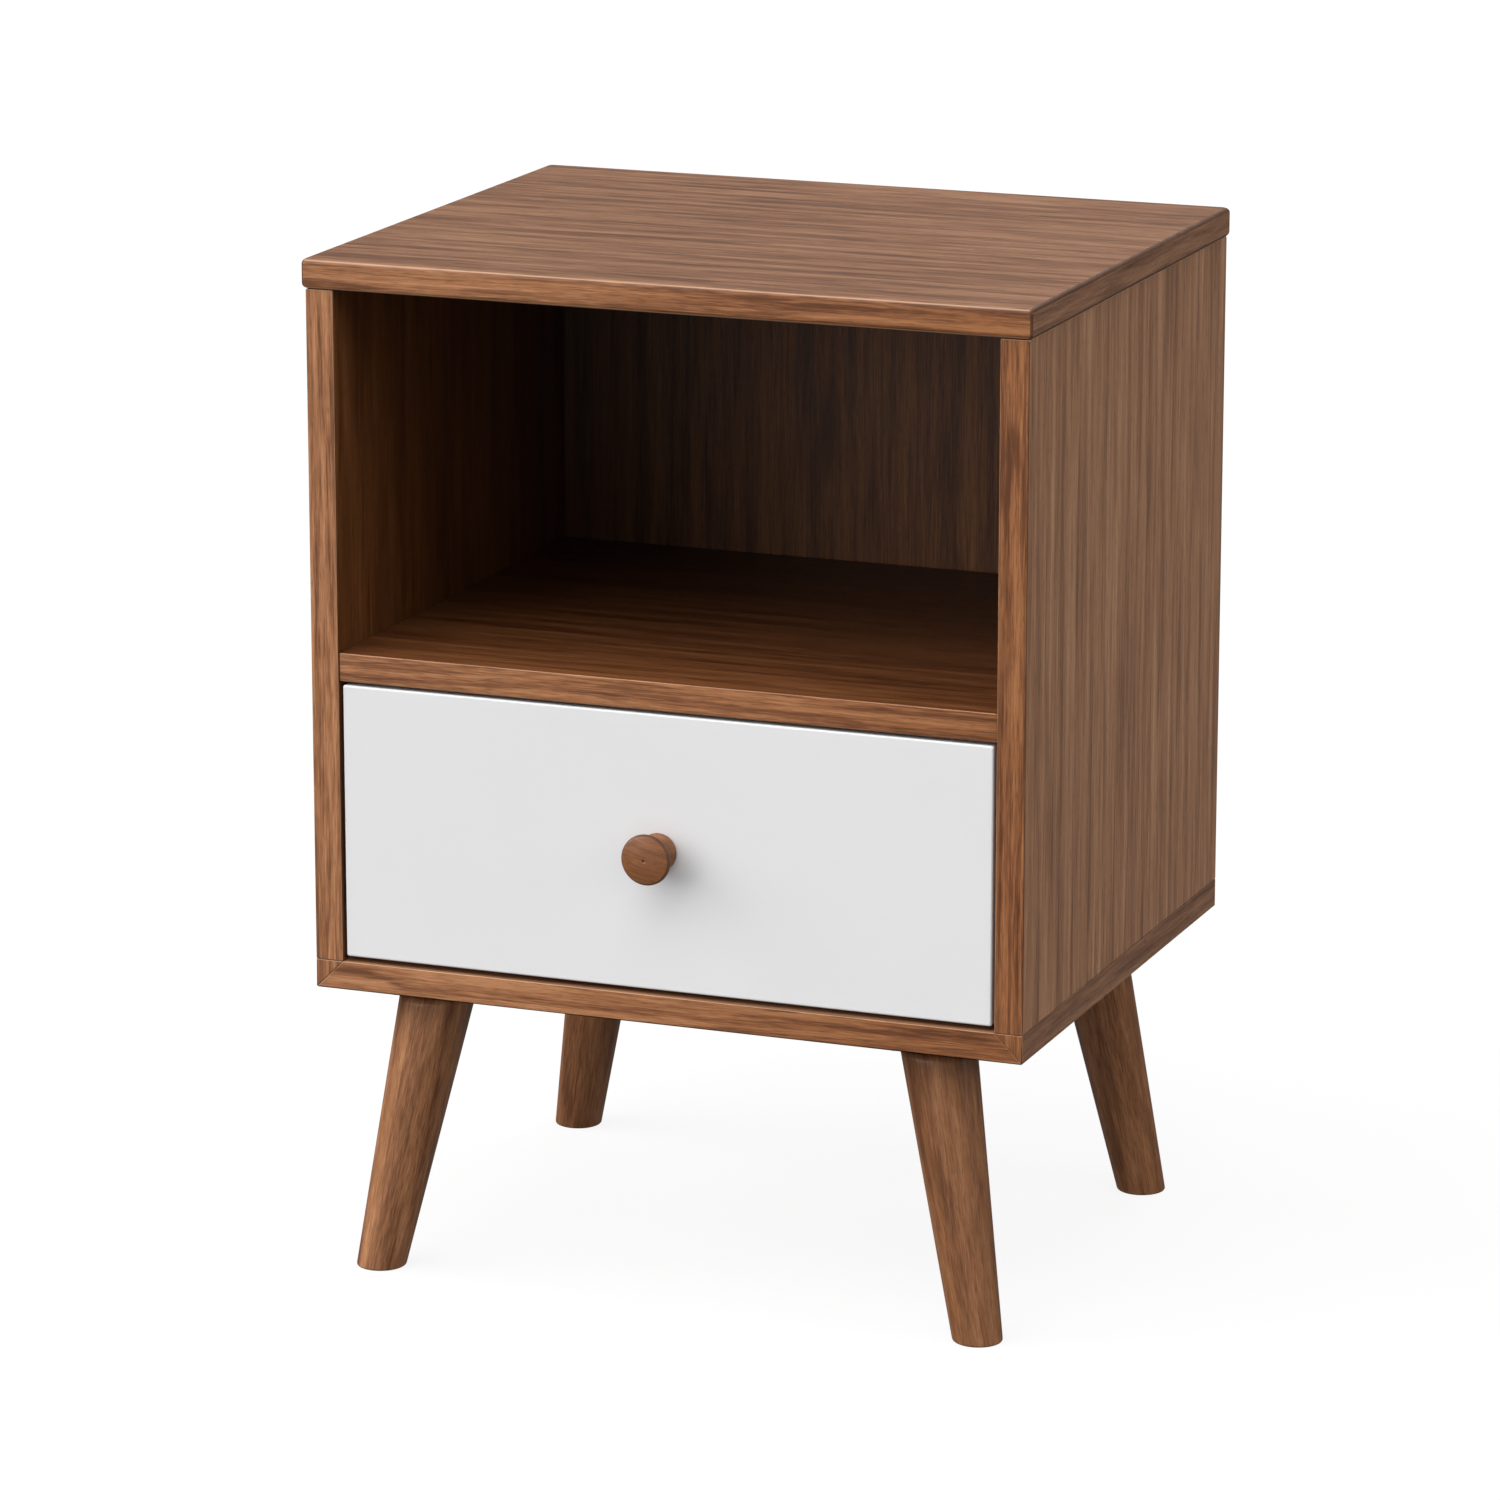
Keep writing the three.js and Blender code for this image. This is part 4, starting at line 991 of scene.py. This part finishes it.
# Softboxes: compass angle from the front (+ is to the right), height angle, width as an angle, strength.
SOFTBOXES = {
    "key_front_left": (-43, 27, 58, 0.47),
    "left": (-80, 32, 40, 0.50),
    "overhead": (-10, 68, 50, 0.43),
    "front": (5, 28, 100, 0.277),
    "right": (88, 25, 40, 0.345),
    "rear": (178, 50, 50, 0.26),
}


def build_floor():
    bm = bmesh.new()
    bmesh.ops.create_grid(bm, x_segments=2, y_segments=2, size=FLOOR_SIZE / 2)
    floor = object_from("studio_floor", bm, [floor_white()])
    # The floor throws no light up at the table, as a dark studio floor cut out to white would not.
    floor.visible_diffuse = False
    floor.visible_glossy = False
    floor.visible_shadow = False


def from_angles(azimuth, elevation):
    """The unit vector towards a place that far round from the front (+ to the right) and that high."""
    level = math.cos(elevation)
    return Vector((math.sin(azimuth) * level, -math.cos(azimuth) * level, math.sin(elevation)))


def build_lights():
    for name, (azimuth, elevation, width, strength) in SOFTBOXES.items():
        light = bpy.data.lights.new(name, "SUN")
        light.energy = math.pi * strength
        light.angle = math.radians(width)
        lamp = bpy.data.objects.new(name, light)
        bpy.context.collection.objects.link(lamp)
        towards = from_angles(math.radians(azimuth), math.radians(elevation))
        lamp.rotation_euler = towards.to_track_quat("Z", "Y").to_euler()


def build_world():
    world = bpy.data.worlds.new("studio")
    world.use_nodes = True
    background = world.node_tree.nodes["Background"]
    background.inputs["Color"].default_value = (1.0, 1.0, 1.0, 1.0)
    background.inputs["Strength"].default_value = AMBIENT
    bpy.context.scene.world = world


def build_camera():
    camera = bpy.data.cameras.new("camera")
    camera.sensor_width = CAMERA_SENSOR
    camera.lens = CAMERA_LENS
    camera.clip_end = 200.0
    eye = bpy.data.objects.new("camera", camera)
    bpy.context.collection.objects.link(eye)
    back = from_angles(CAMERA_AZIMUTH, CAMERA_ELEVATION)
    eye.location = Vector(CAMERA_AIM) + back * CAMERA_DISTANCE
    eye.rotation_euler = back.to_track_quat("Z", "Y").to_euler()
    bpy.context.scene.camera = eye
    bpy.context.scene.view_settings.view_transform = "Standard"


# ---- everything --------------------------------------------------------------------------------

build_camera()
build_world()
build_lights()
build_floor()
build_top()
build_sides()
build_bottom()
build_shelf_and_back()
build_legs()
build_plate_screws()
build_drawer_box()
build_knob()
build_rollers()
finish_cad_nodes()

bpy.context.view_layer.update()
